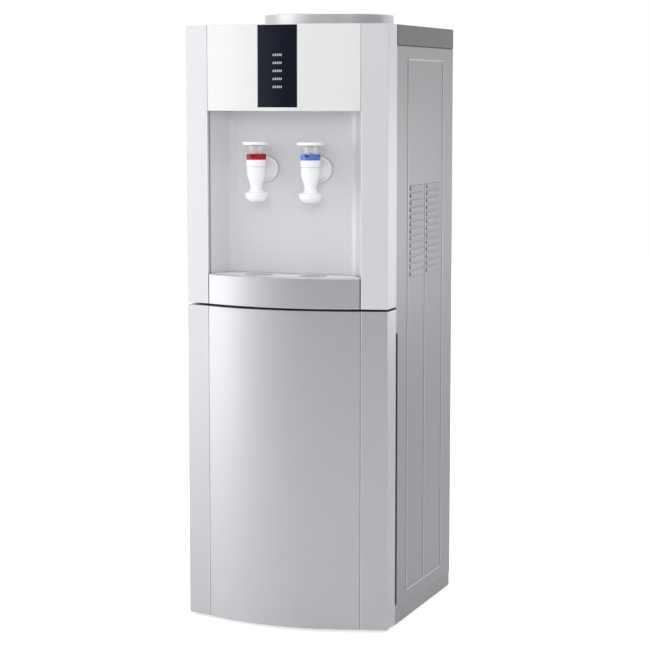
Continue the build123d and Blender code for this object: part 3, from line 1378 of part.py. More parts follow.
with BuildPart() as water_pump:
    with BuildSketch(Plane.XZ.offset(-pump_y)):
        with Locations((pump_x, pump_axis_z)):
            RectangleRounded(2 * pump_head_half, 2 * pump_head_half, 4.0)
    extrude(amount=-pump_head_depth)
    with BuildSketch(Plane.XZ.offset(-(pump_y + pump_head_depth))):
        with Locations((pump_x, pump_axis_z)):
            Circle(pump_motor_r)
    extrude(amount=-pump_motor_length)
    with BuildSketch(Plane.XZ.offset(-pump_y)):
        with Locations((pump_x - pump_port_x, pump_axis_z), (pump_x + pump_port_x, pump_axis_z)):
            Circle(spigot_r)
    extrude(amount=pump_port_length)
    # rubber-footed saddle on the deck
    with BuildSketch(Plane.XY.offset(deck_top_z + seat_gap)):
        with Locations((pump_x, pump_y + pump_head_depth / 2), (pump_x, pump_y + pump_head_depth + 30.0)):
            Rectangle(2 * pump_foot_half, 12.0)
    extrude(amount=pump_axis_z - deck_top_z - 10.0)
water_pump.part.label = "water_pump"
export_step(water_pump.part, "parts/water_pump.step")

supply_x = half_width - 55.0
supply_half = 30.0
supply_front_y = rear_y - 80.0
supply_length = 62.0
supply_height = 34.0
supply_slots = 7
with BuildPart() as power_supply:
    with BuildSketch(Plane.XY.offset(deck_top_z + seat_gap)):
        with Locations((supply_x, supply_front_y)):
            Rectangle(2 * supply_half, supply_length, align=(Align.CENTER, Align.MIN))
    extrude(amount=supply_height)
    chamfer(power_supply.faces().sort_by(Axis.Z)[-1].edges(), length=1.5)
    with BuildSketch(Plane.XY.offset(deck_top_z + seat_gap + supply_height)):
        with Locations((supply_x, supply_front_y + supply_length / 2)):
            with GridLocations(0, 7.5, 1, supply_slots):
                SlotOverall(1.5 * supply_half, 3.0)
    extrude(amount=-2.0, mode=Mode.SUBTRACT)
power_supply.part.label = "power_supply"
export_step(power_supply.part, "parts/power_supply.step")

# ---- back panel and what is fixed to it ----
drain_z = split_z + 24.0
drain_x = hot_x
drain_flange_r = 14.0
drain_thread_r = 8.0
drain_bore_r = 3.0
drain_flange = 2.5
drain_thread = 9.0
drain_nut = 4.0
drain_barb = 20.0
drain_cap_r = 13.0
drain_cap_ribs = 16
inlet_x = supply_x
inlet_z = split_z + 66.0
inlet_half_x = 13.5
inlet_half_z = 10.0
inlet_depth = 16.0
inlet_flange_x = 25.0
inlet_flange_z = 14.0
inlet_flange = 3.0
inlet_corner = 4.0
pin_width = 2.0
pin_height = 4.0
pin_set_back = 4.0  # tips behind the back panel's face
pin_pitch = 7.0
switch_z = inlet_z + 56.0
switch_pitch = 28.0
rocker_half_x = 6.2
rocker_half_z = 8.9
rocker_gap = 0.4
window_half_z = 10.0
switch_plate_x = 31.0
switch_plate_z = 18.0
switch_plate_thickness = 2.0
housing_wall = 1.5
housing_depth = 15.0
rocker_pivot = 3.0  # behind the plate's face
rocker_tilt = 8.0
guard_r = 52.0
guard_thickness = 3.0
guard_ring_width = 1.8
guard_ring_pitch = 9.0
guard_rings = 4
guard_bar = 3.0
guard_ear_r = 5.5
screw_r = 1.9
screw_x = half_width - 7.0
screw_zs = (plinth_top_z + 33.5, door_bottom_z + 334.0, split_z + 74.0, cover_z - 49.0)
screw_gap = 0.3
rear_vent_length = 70.0
rear_vent_width = 4.0
rear_vent_pitch = 10.0
rear_vent_rows = 8
rear_vent_z = split_z + 134.0
rear_vent_x = 42.0
screw_places = [(x, z) for x in (-screw_x, screw_x) for z in screw_zs]
guard_screws = [
    (x, block_z + z)
    for x in (-fan_hole_pitch / 2, fan_hole_pitch / 2)
    for z in (-fan_hole_pitch / 2, fan_hole_pitch / 2)
]

with BuildPart() as back_panel:
    with BuildSketch(Plane.XZ.offset(-rear_y)):
        with Locations((0, panel_mid_z)):
            Rectangle(2 * casing_x, panel_top_z - panel_bottom_z)
        with Locations((0, block_z)):
            Circle(fan_bore_r, mode=Mode.SUBTRACT)
        with Locations(*screw_places, *guard_screws):
            Circle(screw_r + screw_gap, mode=Mode.SUBTRACT)
        with Locations((drain_x, drain_z)):
            Circle(drain_thread_r + screw_gap, mode=Mode.SUBTRACT)
        with Locations((inlet_x, inlet_z)):
            Rectangle(
                2 * (inlet_half_x + housing_wall + seat_gap),
                2 * (inlet_half_z + housing_wall + seat_gap),
                mode=Mode.SUBTRACT,
            )
        with Locations((inlet_x, switch_z)):
            Rectangle(
                switch_pitch + 2 * (rocker_half_x + rocker_gap + housing_wall + seat_gap),
                2 * (window_half_z + housing_wall + seat_gap),
                mode=Mode.SUBTRACT,
            )
        with Locations((-rear_vent_x, rear_vent_z), (rear_vent_x, rear_vent_z)):
            with GridLocations(0, rear_vent_pitch, 1, rear_vent_rows):
                SlotOverall(rear_vent_length, rear_vent_width, mode=Mode.SUBTRACT)
    extrude(amount=sheet)
back_panel.part.label = "back_panel"
export_step(back_panel.part, "parts/back_panel.step")

with BuildPart() as fan_guard:
    with BuildSketch(Plane.XZ.offset(-rear_y)):
        with Locations((0, block_z)):
            Circle(guard_r)
            Circle(fan_bore_r, mode=Mode.SUBTRACT)
            for ring_number in range(guard_rings):
                ring_r = fan_bore_r - guard_ring_pitch * ring_number - guard_ring_pitch / 2
                Circle(ring_r)
                Circle(ring_r - guard_ring_width, mode=Mode.SUBTRACT)
            for angle in (45, 135):
                Rectangle(sqrt(2) * fan_hole_pitch, guard_bar, rotation=angle)
        with Locations(*guard_screws):
            Circle(guard_ear_r)
            Circle(screw_r + screw_gap, mode=Mode.SUBTRACT)
    extrude(amount=-guard_thickness)
fan_guard.part.label = "fan_guard"
export_step(fan_guard.part, "parts/fan_guard.step")

# ---- two rocker switches in one housing ----
plate_face_y = rear_y + switch_plate_thickness
pivot_y = plate_face_y - rocker_pivot
axle_r = 1.5
axle_clearance = 0.05
axle_reach = 1.3  # into the housing's walls
rocker_face = 3.4
rocker_end = 4.7
rocker_places = [(inlet_x - switch_pitch / 2, switch_z), (inlet_x + switch_pitch / 2, switch_z)]

with BuildPart() as switch_housing:
    with BuildSketch(Plane.XZ.offset(-rear_y)):
        with Locations((inlet_x, switch_z)):
            RectangleRounded(2 * switch_plate_x, 2 * switch_plate_z, 3.0)
    extrude(amount=-switch_plate_thickness)
    with BuildSketch(Plane.XZ.offset(-rear_y)):
        with Locations(*rocker_places):
            Rectangle(
                2 * (rocker_half_x + rocker_gap + housing_wall),
                2 * (window_half_z + housing_wall),
            )
    extrude(amount=housing_depth)
    with BuildSketch(Plane.XZ.offset(-plate_face_y)):
        with Locations(*rocker_places):
            Rectangle(2 * (rocker_half_x + rocker_gap), 2 * window_half_z)
    extrude(amount=switch_plate_thickness + housing_depth - housing_wall, mode=Mode.SUBTRACT)
    # bearings for the rockers' axles
    for x, z in rocker_places:
        with Locations(Location((x, pivot_y, z), (0, 90, 0))):
            Cylinder(
                axle_r + axle_clearance,
                2 * (rocker_half_x + rocker_gap + axle_reach + 0.1),
                mode=Mode.SUBTRACT,
            )
switch_housing.part.label = "switch_housing"
export_step(switch_housing.part, "parts/switch_housing.step")

for name, (x, z) in zip(("hot_rocker", "cold_rocker"), rocker_places):
    with BuildPart() as rocker:
        with BuildSketch(Plane.YZ.offset(-rocker_half_x)):
            with BuildLine():
                Polyline(
                    (rocker_face, 0),
                    (rocker_end, rocker_half_z),
                    (-1.0, rocker_half_z - 0.6),
                    (-6.0, 4.0),
                    (-6.0, -4.0),
                    (-1.0, 0.6 - rocker_half_z),
                    (rocker_end, -rocker_half_z),
                    close=True,
                )
            make_face()
        extrude(amount=2 * rocker_half_x)
        with Locations(Location((0, 0, 0), (0, 90, 0))):
            Cylinder(axle_r, 2 * (rocker_half_x + rocker_gap + axle_reach))
    # at rest the upper half is pressed in
    with BuildPart() as placed_rocker:
        add(Location((x, pivot_y, z)) * Rotation(rocker_tilt, 0, 0) * rocker.part)
    placed_rocker.part.label = name
    export_step(placed_rocker.part, f"parts/{name}.step")

# ---- appliance inlet ----
with BuildPart() as power_inlet:
    with BuildSketch(Plane.XZ.offset(-rear_y)):
        with Locations((inlet_x, inlet_z)):
            RectangleRounded(2 * inlet_flange_x, 2 * inlet_flange_z, 4.0)
    extrude(amount=-inlet_flange)
    with BuildSketch(Plane.XZ.offset(-rear_y)):
        with Locations((inlet_x, inlet_z)):
            Rectangle(2 * (inlet_half_x + housing_wall), 2 * (inlet_half_z + housing_wall))
    extrude(amount=inlet_depth - inlet_flange + housing_wall)
    with BuildSketch(Plane.XZ.offset(-(rear_y + inlet_flange))) as socket:
        with Locations((inlet_x, inlet_z)):
            Rectangle(2 * inlet_half_x, 2 * inlet_half_z)
        chamfer(socket.vertices().group_by(Axis.Z)[-1], length=inlet_corner)
    extrude(amount=inlet_depth, mode=Mode.SUBTRACT)
    # three flat pins standing on the socket's floor
    with BuildSketch(Plane.XZ.offset(-(rear_y - pin_set_back))):
        with Locations(
            (inlet_x - pin_pitch, inlet_z - pin_width),
            (inlet_x, inlet_z + pin_width),
            (inlet_x + pin_pitch, inlet_z - pin_width),
        ):
            Rectangle(pin_width, pin_height)
    extrude(amount=inlet_depth - inlet_flange - pin_set_back + housing_wall / 2)
    with BuildSketch(Plane.XZ.offset(-(rear_y + inlet_flange))):
        with Locations((inlet_x - 20.0, inlet_z), (inlet_x + 20.0, inlet_z)):
            Circle(screw_r)
    extrude(amount=inlet_flange, mode=Mode.SUBTRACT)
power_inlet.part.label = "power_inlet"
export_step(power_inlet.part, "parts/power_inlet.step")

# ---- drain and its cap ----
drain_plane = Plane(origin=(drain_x, rear_y, drain_z), x_dir=(1, 0, 0), z_dir=(0, 1, 0))

with BuildPart() as drain_spigot:
    with BuildSketch(drain_plane):
        Circle(drain_flange_r)
    extrude(amount=drain_flange)
    with BuildSketch(drain_plane.offset(-sheet - seat_gap - drain_nut)):
        Circle(drain_thread_r)
    extrude(amount=drain_thread + sheet + seat_gap + drain_nut)
    with BuildSketch(drain_plane.offset(-sheet - seat_gap)):
        RegularPolygon(drain_flange_r - 2.0, 6, major_radius=False)
    extrude(amount=-drain_nut)
    with BuildSketch(drain_plane.offset(-drain_barb)):
        Circle(spigot_r)
    extrude(amount=drain_barb - sheet)
    with BuildSketch(drain_plane.offset(-drain_barb)):
        Circle(spigot_bore_r)
    extrude(amount=drain_barb + drain_thread, mode=Mode.SUBTRACT)
drain_spigot.part.label = "drain_spigot"
export_step(drain_spigot.part, "parts/drain_spigot.step")

with BuildPart() as drain_cap:
    with BuildSketch(drain_plane.offset(drain_flange + seat_gap)):
        Circle(drain_cap_r - 0.8)
        with PolarLocations(drain_cap_r - 0.8, drain_cap_ribs):
            Circle(0.8)
    extrude(amount=rear_reach - drain_flange - seat_gap)
    with BuildSketch(drain_plane.offset(drain_flange + seat_gap)):
        Circle(drain_thread_r + seat_gap)
    extrude(amount=drain_thread - drain_flange, mode=Mode.SUBTRACT)
drain_cap.part.label = "drain_cap"
export_step(drain_cap.part, "parts/drain_cap.step")

# ---- water hoses above the deck ----
hose_lap = 1.0  # an end stops this far short of the spigot's root
riser_x = half_width - 35.0
riser_y = pump_y - 50.5
riser_rise = 110.0  # above the pump, where the fill line leaves the riser


def hose(path, start, direction):
    """Swept tube along path, whose first point and first direction are given."""
    with BuildPart() as tube:
        with BuildSketch(Plane(origin=start, z_dir=direction)):
            Circle(hose_r)
            Circle(hose_bore_r, mode=Mode.SUBTRACT)
        sweep(path=path)
    return tube.part


cold_line_points = [
    (tap_x, thread_end_y + hose_lap, tap_axis_z),
    (tap_x, thread_end_y + 40.0, tap_axis_z),
    (cold_spigot_x, cold_spigot_y - 58.0, hot_high_z - 17.0),
    (cold_spigot_x, cold_spigot_y, hot_high_z - 17.0),
    (cold_spigot_x, cold_spigot_y, jacket_low_z - hose_lap),
]
hot_line_points = [
    (hot_x, hot_y - hot_r - hose_lap, hot_out_z),
    (hot_x, hot_y - hot_r - 42.0, hot_out_z),
    (-tap_x, thread_end_y + 48.0, tap_axis_z),
    (-tap_x, thread_end_y + hose_lap, tap_axis_z),
]
fill_line_points = [
    (pump_x + pump_port_x, pump_y - hose_lap, pump_axis_z),
    (pump_x + pump_port_x, riser_y, pump_axis_z),
    (riser_x, riser_y, pump_axis_z + riser_rise),
    (riser_x, collar_y, fill_spigot_z),
    (jacket_r + hose_lap, collar_y, fill_spigot_z),
]
drain_line_points = [
    (hot_x, hot_y, hot_low_z - hose_lap),
    (hot_x, hot_y, drain_z),
    (hot_x, rear_y - sheet - seat_gap - drain_nut - hose_lap, drain_z),
]

with BuildPart() as water_hoses:
    with BuildLine() as cold_line:
        FilletPolyline(*cold_line_points, radius=[18.0, 18.0, 18.0])
    add(hose(cold_line.line, cold_line_points[0], (0, 1, 0)))
    with BuildLine() as hot_line:
        FilletPolyline(*hot_line_points, radius=[18.0, 18.0])
    add(hose(hot_line.line, hot_line_points[0], (0, -1, 0)))
    with BuildLine() as fill_line:
        FilletPolyline(*fill_line_points, radius=[24.0, 60.0, 24.0])
    add(hose(fill_line.line, fill_line_points[0], (0, -1, 0)))
    with BuildLine() as drain_line:
        FilletPolyline(*drain_line_points, radius=[14.0])
    add(hose(drain_line.line, drain_line_points[0], (0, 0, -1)))
    # straight feed from the cold tank down to the hot tank
    with BuildSketch(Plane.XY.offset(hot_high_z + hose_lap)):
        with Locations((feed_spigot_x, feed_spigot_y)):
            Circle(hose_r)
            Circle(hose_bore_r, mode=Mode.SUBTRACT)
    extrude(amount=jacket_low_z - hot_high_z - 2 * hose_lap)
water_hoses.part.label = "water_hoses"
export_step(water_hoses.part, "parts/water_hoses.step")

# ---- suction hose, probe and clips ----
loop_height = 210.0  # lowest run of the slack loop over the cabinet's floor
loop_low_z = bay_floor_z + loop_height
loop_width = 60.0
hose_over_z = bay_top_z - 14.0
probe_x = bay_half - 26.0
probe_y = bay_back_y - 29.5
probe_tube_r = 6.5
probe_foot_r = 11.0
probe_foot = 30.0
probe_cap_r = 24.0
probe_cap = 14.0
probe_cap_z = hose_over_z - 84.0
probe_top_z = hose_over_z - 58.0
probe_spigot = 12.0
return_y = port_y + loop_width
suction_points = [
    (pump_x - pump_port_x, pump_y - hose_lap, pump_axis_z),
    (pump_x - pump_port_x, riser_y - 20.0, pump_axis_z),
    (port_x, port_y, pump_axis_z),
    (port_x, port_y, loop_low_z),
    (port_x, return_y, loop_low_z),
    (port_x, return_y, hose_over_z),
    (probe_x, probe_y, hose_over_z),
    (probe_x, probe_y, probe_top_z - probe_spigot + hose_lap),
]

with BuildLine() as suction_line:
    FilletPolyline(*suction_points, radius=[22.0, 20.0, 29.0, 29.0, 60.0, 44.0])
with BuildPart() as suction_hose:
    add(hose(suction_line.line, suction_points[0], (0, -1, 0)))
suction_hose.part.label = "suction_hose"
export_step(suction_hose.part, "parts/suction_hose.step")
print(f"suction hose length {sum(edge.length for edge in suction_line.edges()):.0f} mm")

with BuildPart() as suction_probe:
    probe_low_z = bay_floor_z + seat_gap
    with BuildSketch(Plane.XY.offset(probe_low_z)):
        with Locations((probe_x, probe_y)):
            Circle(probe_foot_r)
    extrude(amount=probe_foot)
    with BuildSketch(Plane.XY.offset(probe_low_z + probe_foot)):
        with Locations((probe_x, probe_y)):
            Circle(probe_tube_r)
    extrude(amount=probe_top_z - probe_spigot - probe_low_z - probe_foot)
    with BuildSketch(Plane.XY.offset(probe_cap_z - probe_cap)):
        with Locations((probe_x, probe_y)):
            Circle(probe_cap_r)
    extrude(amount=probe_cap)
    chamfer(suction_probe.edges().filter_by(GeomType.CIRCLE).group_by(SortBy.RADIUS)[-1], length=1.5)
    with BuildSketch(Plane.XY.offset(probe_top_z - probe_spigot)):
        with Locations((probe_x, probe_y)):
            Circle(spigot_r)
    extrude(amount=probe_spigot)
    with BuildSketch(Plane.XY.offset(probe_low_z + 4.0)):
        with Locations((probe_x, probe_y)):
            Circle(spigot_bore_r)
    extrude(amount=probe_top_z - probe_low_z - 4.0, mode=Mode.SUBTRACT)
    # cross slots of the strainer foot
    with BuildSketch(Plane.XY.offset(probe_low_z + 6.0)):
        with Locations((probe_x, probe_y)):
            Rectangle(2 * probe_foot_r, 2.4)
            Rectangle(2.4, 2 * probe_foot_r)
    extrude(amount=probe_foot - 12.0, mode=Mode.SUBTRACT)
suction_probe.part.label = "suction_probe"
export_step(suction_probe.part, "parts/suction_probe.step")

clip_wall = 1.8
clip_height = 9.0
clip_base = 2.5
clip_base_half = 9.0
clip_mouth = 6.0
clip_gap = 0.1
clip_low_z = loop_low_z + 80.0
clip_high_z = bay_top_z - 74.0
hose_clip_places = [
    (port_x, port_y, clip_high_z),
    (port_x, port_y, clip_low_z),
    (port_x, return_y, clip_low_z),
]

with BuildPart() as hose_clips:
    for x, y, z, held_r in [place + (hose_r,) for place in hose_clip_places] + [
        (probe_x, probe_y, clip_low_z, probe_tube_r)
    ]:
        with BuildSketch(Plane.XY.offset(z)):
            with Locations((x, y)):
                Circle(held_r + clip_gap + clip_wall)
            with Locations((bay_half, y)):
                Rectangle(clip_base, 2 * clip_base_half, align=(Align.MAX, Align.CENTER))
                Rectangle(bay_half - x, 2 * clip_wall, align=(Align.MAX, Align.CENTER))
            with Locations((x, y)):
                Circle(held_r + clip_gap, mode=Mode.SUBTRACT)
                Rectangle(
                    2 * (held_r + clip_wall),
                    clip_mouth,
                    align=(Align.MAX, Align.CENTER),
                    mode=Mode.SUBTRACT,
                )
        extrude(amount=clip_height)
hose_clips.part.label = "hose_clips"
export_step(hose_clips.part, "parts/hose_clips.step")
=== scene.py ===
from math import pi, radians, sqrt

import bpy
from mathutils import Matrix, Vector


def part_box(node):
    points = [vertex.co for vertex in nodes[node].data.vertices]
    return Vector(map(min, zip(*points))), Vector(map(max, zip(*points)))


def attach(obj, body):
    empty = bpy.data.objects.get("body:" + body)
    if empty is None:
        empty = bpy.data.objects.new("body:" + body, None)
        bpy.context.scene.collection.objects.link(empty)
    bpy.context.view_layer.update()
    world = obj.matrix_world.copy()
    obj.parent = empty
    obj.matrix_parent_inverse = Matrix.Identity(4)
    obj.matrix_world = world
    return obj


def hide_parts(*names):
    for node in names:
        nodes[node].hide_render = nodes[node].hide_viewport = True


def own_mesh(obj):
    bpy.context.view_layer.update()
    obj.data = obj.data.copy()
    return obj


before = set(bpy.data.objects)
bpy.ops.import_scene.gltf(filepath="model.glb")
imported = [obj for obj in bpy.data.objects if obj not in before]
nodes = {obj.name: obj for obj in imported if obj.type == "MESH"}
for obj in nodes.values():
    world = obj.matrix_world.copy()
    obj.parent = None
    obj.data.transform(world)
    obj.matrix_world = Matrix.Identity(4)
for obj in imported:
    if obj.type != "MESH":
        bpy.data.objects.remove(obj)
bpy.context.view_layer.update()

# ---- Studio ----
# A pale floor under soft lamps: a tall one to the left, two in front, one overhead and a small one by the
# right side. The background is plain white. Two grey cards, behind the camera and to its right, darken
# what the bowed front and the side reflect.
FLOOR_SIZE = 14.0
FLOOR_COLOUR = (0.80, 0.80, 0.80, 1)
FLOOR_LIFT = 0.62
FLOOR_SHINE = 0.24  # the lift that glossy and transmission rays see
AMBIENT = (0.62, 0.63, 0.65, 1)
LAMPS = {  # place, aim, width and height, watts
    "tall_left": ((-1.95, -1.05, 0.52), (0, 0, 0.40), (1.5, 2.5), 17),
    "front_left": ((-1.3, -3.2, 2.0), (0, 0, 0.6), (1.2, 1.2), 3),
    "front_soft": ((0.9, -3.6, 1.6), (0, 0, 0.6), (1.4, 1.4), 30),
    "overhead": ((0.2, -0.4, 3.0), (0, 0, 0.6), (1.8, 1.8), 17),
    "right_near": ((0.66, 0.42, 0.66), (0.18, 0, 0.64), (0.4, 0.4), 1.15),
}
SOFT_LAMP = "front_soft"  # lights the whites and isn't mirrored in the silver
CARD_GREY = 0.19
CARD_FADE = (0.33, 0.5)  # shares of its width from the middle, where the grey starts to fade and is white
CARDS = {  # size, middle, turn about Z in degrees
    "studio_card_front": ((11.0, 5.0), (1.9, -5.6, 2.0), 0),
    "studio_card_right": ((8.0, 5.0), (4.6, 0.6, 2.0), 90),
}
CAMERA_PLACE = (1.2512, -3.3034, 0.8996)
CAMERA_YAW = 20.6475
CAMERA_DOWN = 6.526
CAMERA_LENS = 112.2

scene = bpy.context.scene
scene.view_settings.view_transform = "Standard"


def maths(tree, operation, a, b=None):
    """One Math node on two values or sockets."""
    node = tree.nodes.new("ShaderNodeMath")
    node.operation = operation
    for socket, value in zip(node.inputs, (a, b)):
        if isinstance(value, (int, float)):
            socket.default_value = value
        elif value is not None:
            tree.links.new(value, socket)
    return node.outputs[0]


def spread(tree, value, low, high, to_low, to_high):
    """Map Range from low..high to to_low..to_high, clamped; any end may be a socket."""
    node = tree.nodes.new("ShaderNodeMapRange")
    tree.links.new(value, node.inputs["Value"])
    for label, end in (("From Min", low), ("From Max", high), ("To Min", to_low), ("To Max", to_high)):
        if isinstance(end, (int, float)):
            node.inputs[label].default_value = end
        else:
            tree.links.new(end, node.inputs[label])
    return node.outputs["Result"]


def background_rays(tree, seen, mirrored):
    """Lift for the rays that see the background.

    seen is for camera rays, and mirrored for glossy and transmission rays.
    """
    rays = tree.nodes.new("ShaderNodeLightPath")
    direct = maths(tree, "MULTIPLY", rays.outputs["Is Camera Ray"], seen)
    other = maths(tree, "MAXIMUM", rays.outputs["Is Glossy Ray"], rays.outputs["Is Transmission Ray"])
    return maths(tree, "MAXIMUM", direct, maths(tree, "MULTIPLY", other, mirrored))


def studio_plane(name, size, place, turn):
    """Plane of the studio with a material of its own, returned with that material's node tree."""
    bpy.ops.object.select_all(action="DESELECT")
    bpy.ops.mesh.primitive_plane_add(size=1.0, location=place, rotation=turn)
    plane = bpy.context.object
    plane.name = name
    plane.scale = (*size, 1)
    paint = bpy.data.materials.new(name)
    paint.use_nodes = True
    plane.data.materials.append(paint)
    return plane, paint.node_tree


_, floor_tree = studio_plane("studio_floor", (FLOOR_SIZE, FLOOR_SIZE), (0, 0, 0), (0, 0, 0))
floor_skin = floor_tree.nodes["Principled BSDF"]
floor_skin.inputs["Base Color"].default_value = FLOOR_COLOUR
floor_skin.inputs["Roughness"].default_value = 0.6
floor_skin.inputs["Specular IOR Level"].default_value = 0.2
floor_skin.inputs["Emission Color"].default_value = (1, 1, 1, 1)
floor_lift = background_rays(floor_tree, FLOOR_LIFT, FLOOR_SHINE)
floor_tree.links.new(floor_lift, floor_skin.inputs["Emission Strength"])

for card_name, (size, place, turn) in CARDS.items():
    card, card_tree = studio_plane(card_name, size, place, (pi / 2, 0, radians(turn)))
    card.visible_camera = False
    card.visible_diffuse = False
    card.visible_shadow = False
    card.visible_transmission = False
    card_skin = card_tree.nodes["Principled BSDF"]
    card_skin.inputs["Base Color"].default_value = (0, 0, 0, 1)
    card_skin.inputs["Specular IOR Level"].default_value = 0.0
    card_skin.inputs["Emission Color"].default_value = (1, 1, 1, 1)
    card_split = card_tree.nodes.new("ShaderNodeSeparateXYZ")
    card_tree.links.new(card_tree.nodes.new("ShaderNodeTexCoord").outputs["Object"], card_split.inputs[0])
    card_side = maths(card_tree, "ABSOLUTE", card_split.outputs["X"])
    card_glow = spread(card_tree, card_side, *CARD_FADE, CARD_GREY, 1.0)
    card_tree.links.new(card_glow, card_skin.inputs["Emission Strength"])

world = bpy.data.worlds.new("studio")
world.use_nodes = True
scene.world = world
air = world.node_tree
air.nodes.clear()
air_out = air.nodes.new("ShaderNodeOutputWorld")
air_mix = air.nodes.new("ShaderNodeMixShader")
air_dim = air.nodes.new("ShaderNodeBackground")
air_dim.inputs["Color"].default_value = AMBIENT
air_white = air.nodes.new("ShaderNodeBackground")
air_white.inputs["Color"].default_value = (1, 1, 1, 1)
air.links.new(background_rays(air, 1.0, 1.0), air_mix.inputs[0])
air.links.new(air_dim.outputs[0], air_mix.inputs[1])
air.links.new(air_white.outputs[0], air_mix.inputs[2])
air.links.new(air_mix.outputs[0], air_out.inputs["Surface"])

for lamp_name, (place, target, size, watts) in LAMPS.items():
    lamp_data = bpy.data.lights.new(lamp_name, "AREA")
    lamp_data.shape = "RECTANGLE"
    lamp_data.size, lamp_data.size_y = size
    lamp_data.energy = watts
    lamp = bpy.data.objects.new(lamp_name, lamp_data)
    lamp.location = place
    lamp.rotation_euler = (Vector(target) - Vector(place)).to_track_quat("-Z", "Y").to_euler()
    lamp.visible_glossy = lamp_name != SOFT_LAMP
    lamp.visible_camera = False
    scene.collection.objects.link(lamp)

camera_data = bpy.data.cameras.new("camera")
camera_data.lens = CAMERA_LENS
camera_data.sensor_width = 36.0
camera = bpy.data.objects.new("camera", camera_data)
camera.location = CAMERA_PLACE
camera.rotation_euler = (radians(90 - CAMERA_DOWN), 0, radians(CAMERA_YAW))
scene.collection.objects.link(camera)
scene.camera = camera

# ---- Side panels and back panel ----
# Folded steel sheet with a baked metallic grey finish, slipped behind the moulded fronts and screwed on.
# The pressed beads and the folded front edge carry a painted highlight, with painted shade in the top seam
# and at the beads' feet.
SHEET_GREY = (0.325, 0.325, 0.34)
SHEET_HIGHLIGHT_GREY = (0.50, 0.50, 0.51, 1)
PAINTED_SHADE_BLACK = (0.012, 0.012, 0.014, 1)
BEAD_GROOVE = 0.00002  # above the sheet's flat
BEAD_FOOT = 0.00030
BEAD_TOP = 0.00095
VENT_LOW = 0.585
VENT_HIGH = 0.750
VENT_MIDDLE_Y = 0.0345
VENT_NEAR = 0.004
VENT_FAR = 0.090
FRONT_FOLD = 0.0022
TOP_SEAM = 0.0015
HIGHLIGHT_SHARE = 0.9  # of the painted highlight grey on the beads and the fold
GROOVE_SHADE_SHARE = 0.7  # of the painted shade black in the beads' grooves
DUST_GREY = (0.42, 0.41, 0.39, 1)
DUST_ROUGHNESS = 0.4  # added where the dust is full
EDGE_ROUND_RADIUS = 0.0012
HIGHLIGHT_TURN = (0.99, 0.86)  # cosines of the turn where an edge's painted highlight starts, and where it is full
SEAM_SHADE_REACH = 0.004
SEAM_SHADE_OPENNESS = (0.2, 0.7)  # openness where a seam's painted shade is darkest, and where it ends
COAT_ROUGHNESS = 0.12


def noise(tree, vector, scale, detail=2.0, rough=0.5):
    """Noise at this many cycles per metre, read at vector."""
    node = tree.nodes.new("ShaderNodeTexNoise")
    node.inputs["Detail"].default_value = detail
    node.inputs["Roughness"].default_value = rough
    if isinstance(scale, (int, float)):
        node.inputs["Scale"].default_value = scale
    else:
        tree.links.new(scale, node.inputs["Scale"])
    tree.links.new(vector, node.inputs["Vector"])
    return node.outputs["Fac"]


def tinted(tree, fac, a, b):
    """Mix of two colours, each a tuple or a socket."""
    node = tree.nodes.new("ShaderNodeMix")
    node.data_type = "RGBA"
    for socket, value in ((node.inputs["Factor"], fac), (node.inputs[6], a), (node.inputs[7], b)):
        if isinstance(value, (int, float, tuple)):
            socket.default_value = value
        else:
            tree.links.new(value, socket)
    return node.outputs[2]


def scaled(tree, colour, value):
    """Colour or vector socket times a value socket."""
    node = tree.nodes.new("ShaderNodeVectorMath")
    node.operation = "SCALE"
    tree.links.new(colour, node.inputs[0])
    tree.links.new(value, node.inputs["Scale"])
    return node.outputs[0]


def axes(tree, vector):
    """X, Y and Z of a vector."""
    node = tree.nodes.new("ShaderNodeSeparateXYZ")
    tree.links.new(vector, node.inputs[0])
    return node.outputs


def between(tree, value, low, high):
    """1 where a value lies between low and high, and 0 elsewhere."""
    over = maths(tree, "GREATER_THAN", value, low)
    return maths(tree, "MULTIPLY", over, maths(tree, "LESS_THAN", value, high))


def effect(name, inputs, outputs):
    """New shader group with these sockets, returned with its input node and output node."""
    group = bpy.data.node_groups.new(name, "ShaderNodeTree")
    for label, kind, value in inputs:
        socket = group.interface.new_socket(label, in_out="INPUT", socket_type=kind)
        if value is not None:
            socket.default_value = value
    for label, kind in outputs:
        group.interface.new_socket(label, in_out="OUTPUT", socket_type=kind)
    return group, group.nodes.new("NodeGroupInput").outputs, group.nodes.new("NodeGroupOutput").inputs


def surface(name, scale):
    """New surface effect: base colour and scale in, and colour, roughness and height out."""
    return effect(
        name,
        [
            ("Vector", "NodeSocketVector", None),
            ("Base", "NodeSocketColor", (0.5, 0.5, 0.5, 1)),
            ("Shade", "NodeSocketFloat", 0.9),
            ("Scale", "NodeSocketFloat", scale),
        ],
        [("Color", "NodeSocketColor"), ("Roughness", "NodeSocketFloat"), ("Height", "NodeSocketFloat")],
    )


def close_surface(group, start, end, mix, roughness, height):
    """Ends a surface effect with its base mixed with its shade, its roughness and its height."""
    dark = scaled(group, start["Base"], start["Shade"])
    group.links.new(tinted(group, mix, dark, start["Base"]), end["Color"])
    group.links.new(roughness, end["Roughness"])
    group.links.new(height, end["Height"])


# sparkle, mottle and slight orange peel of a metallic paint
flake, flake_in, flake_out = surface("metallic flake", 2600.0)
flake_fine = noise(flake, flake_in["Vector"], flake_in["Scale"], 1.0)
flake_broad = noise(flake, flake_in["Vector"], 7.0, 3.0)
flake_spark = maths(flake, "MULTIPLY", spread(flake, flake_fine, 0.35, 0.68, 0.0, 1.0), 0.7)
flake_mix = maths(flake, "ADD", flake_spark, maths(flake, "MULTIPLY", flake_broad, 0.3))
flake_peel = noise(flake, flake_in["Vector"], 420.0)
flake_height = maths(flake, "ADD", flake_peel, maths(flake, "MULTIPLY", flake_fine, 0.25))
flake_rough = spread(flake, flake_broad, 0.05, 0.95, -0.05, 0.05)
close_surface(flake, flake_in, flake_out, flake_mix, flake_rough, flake_height)

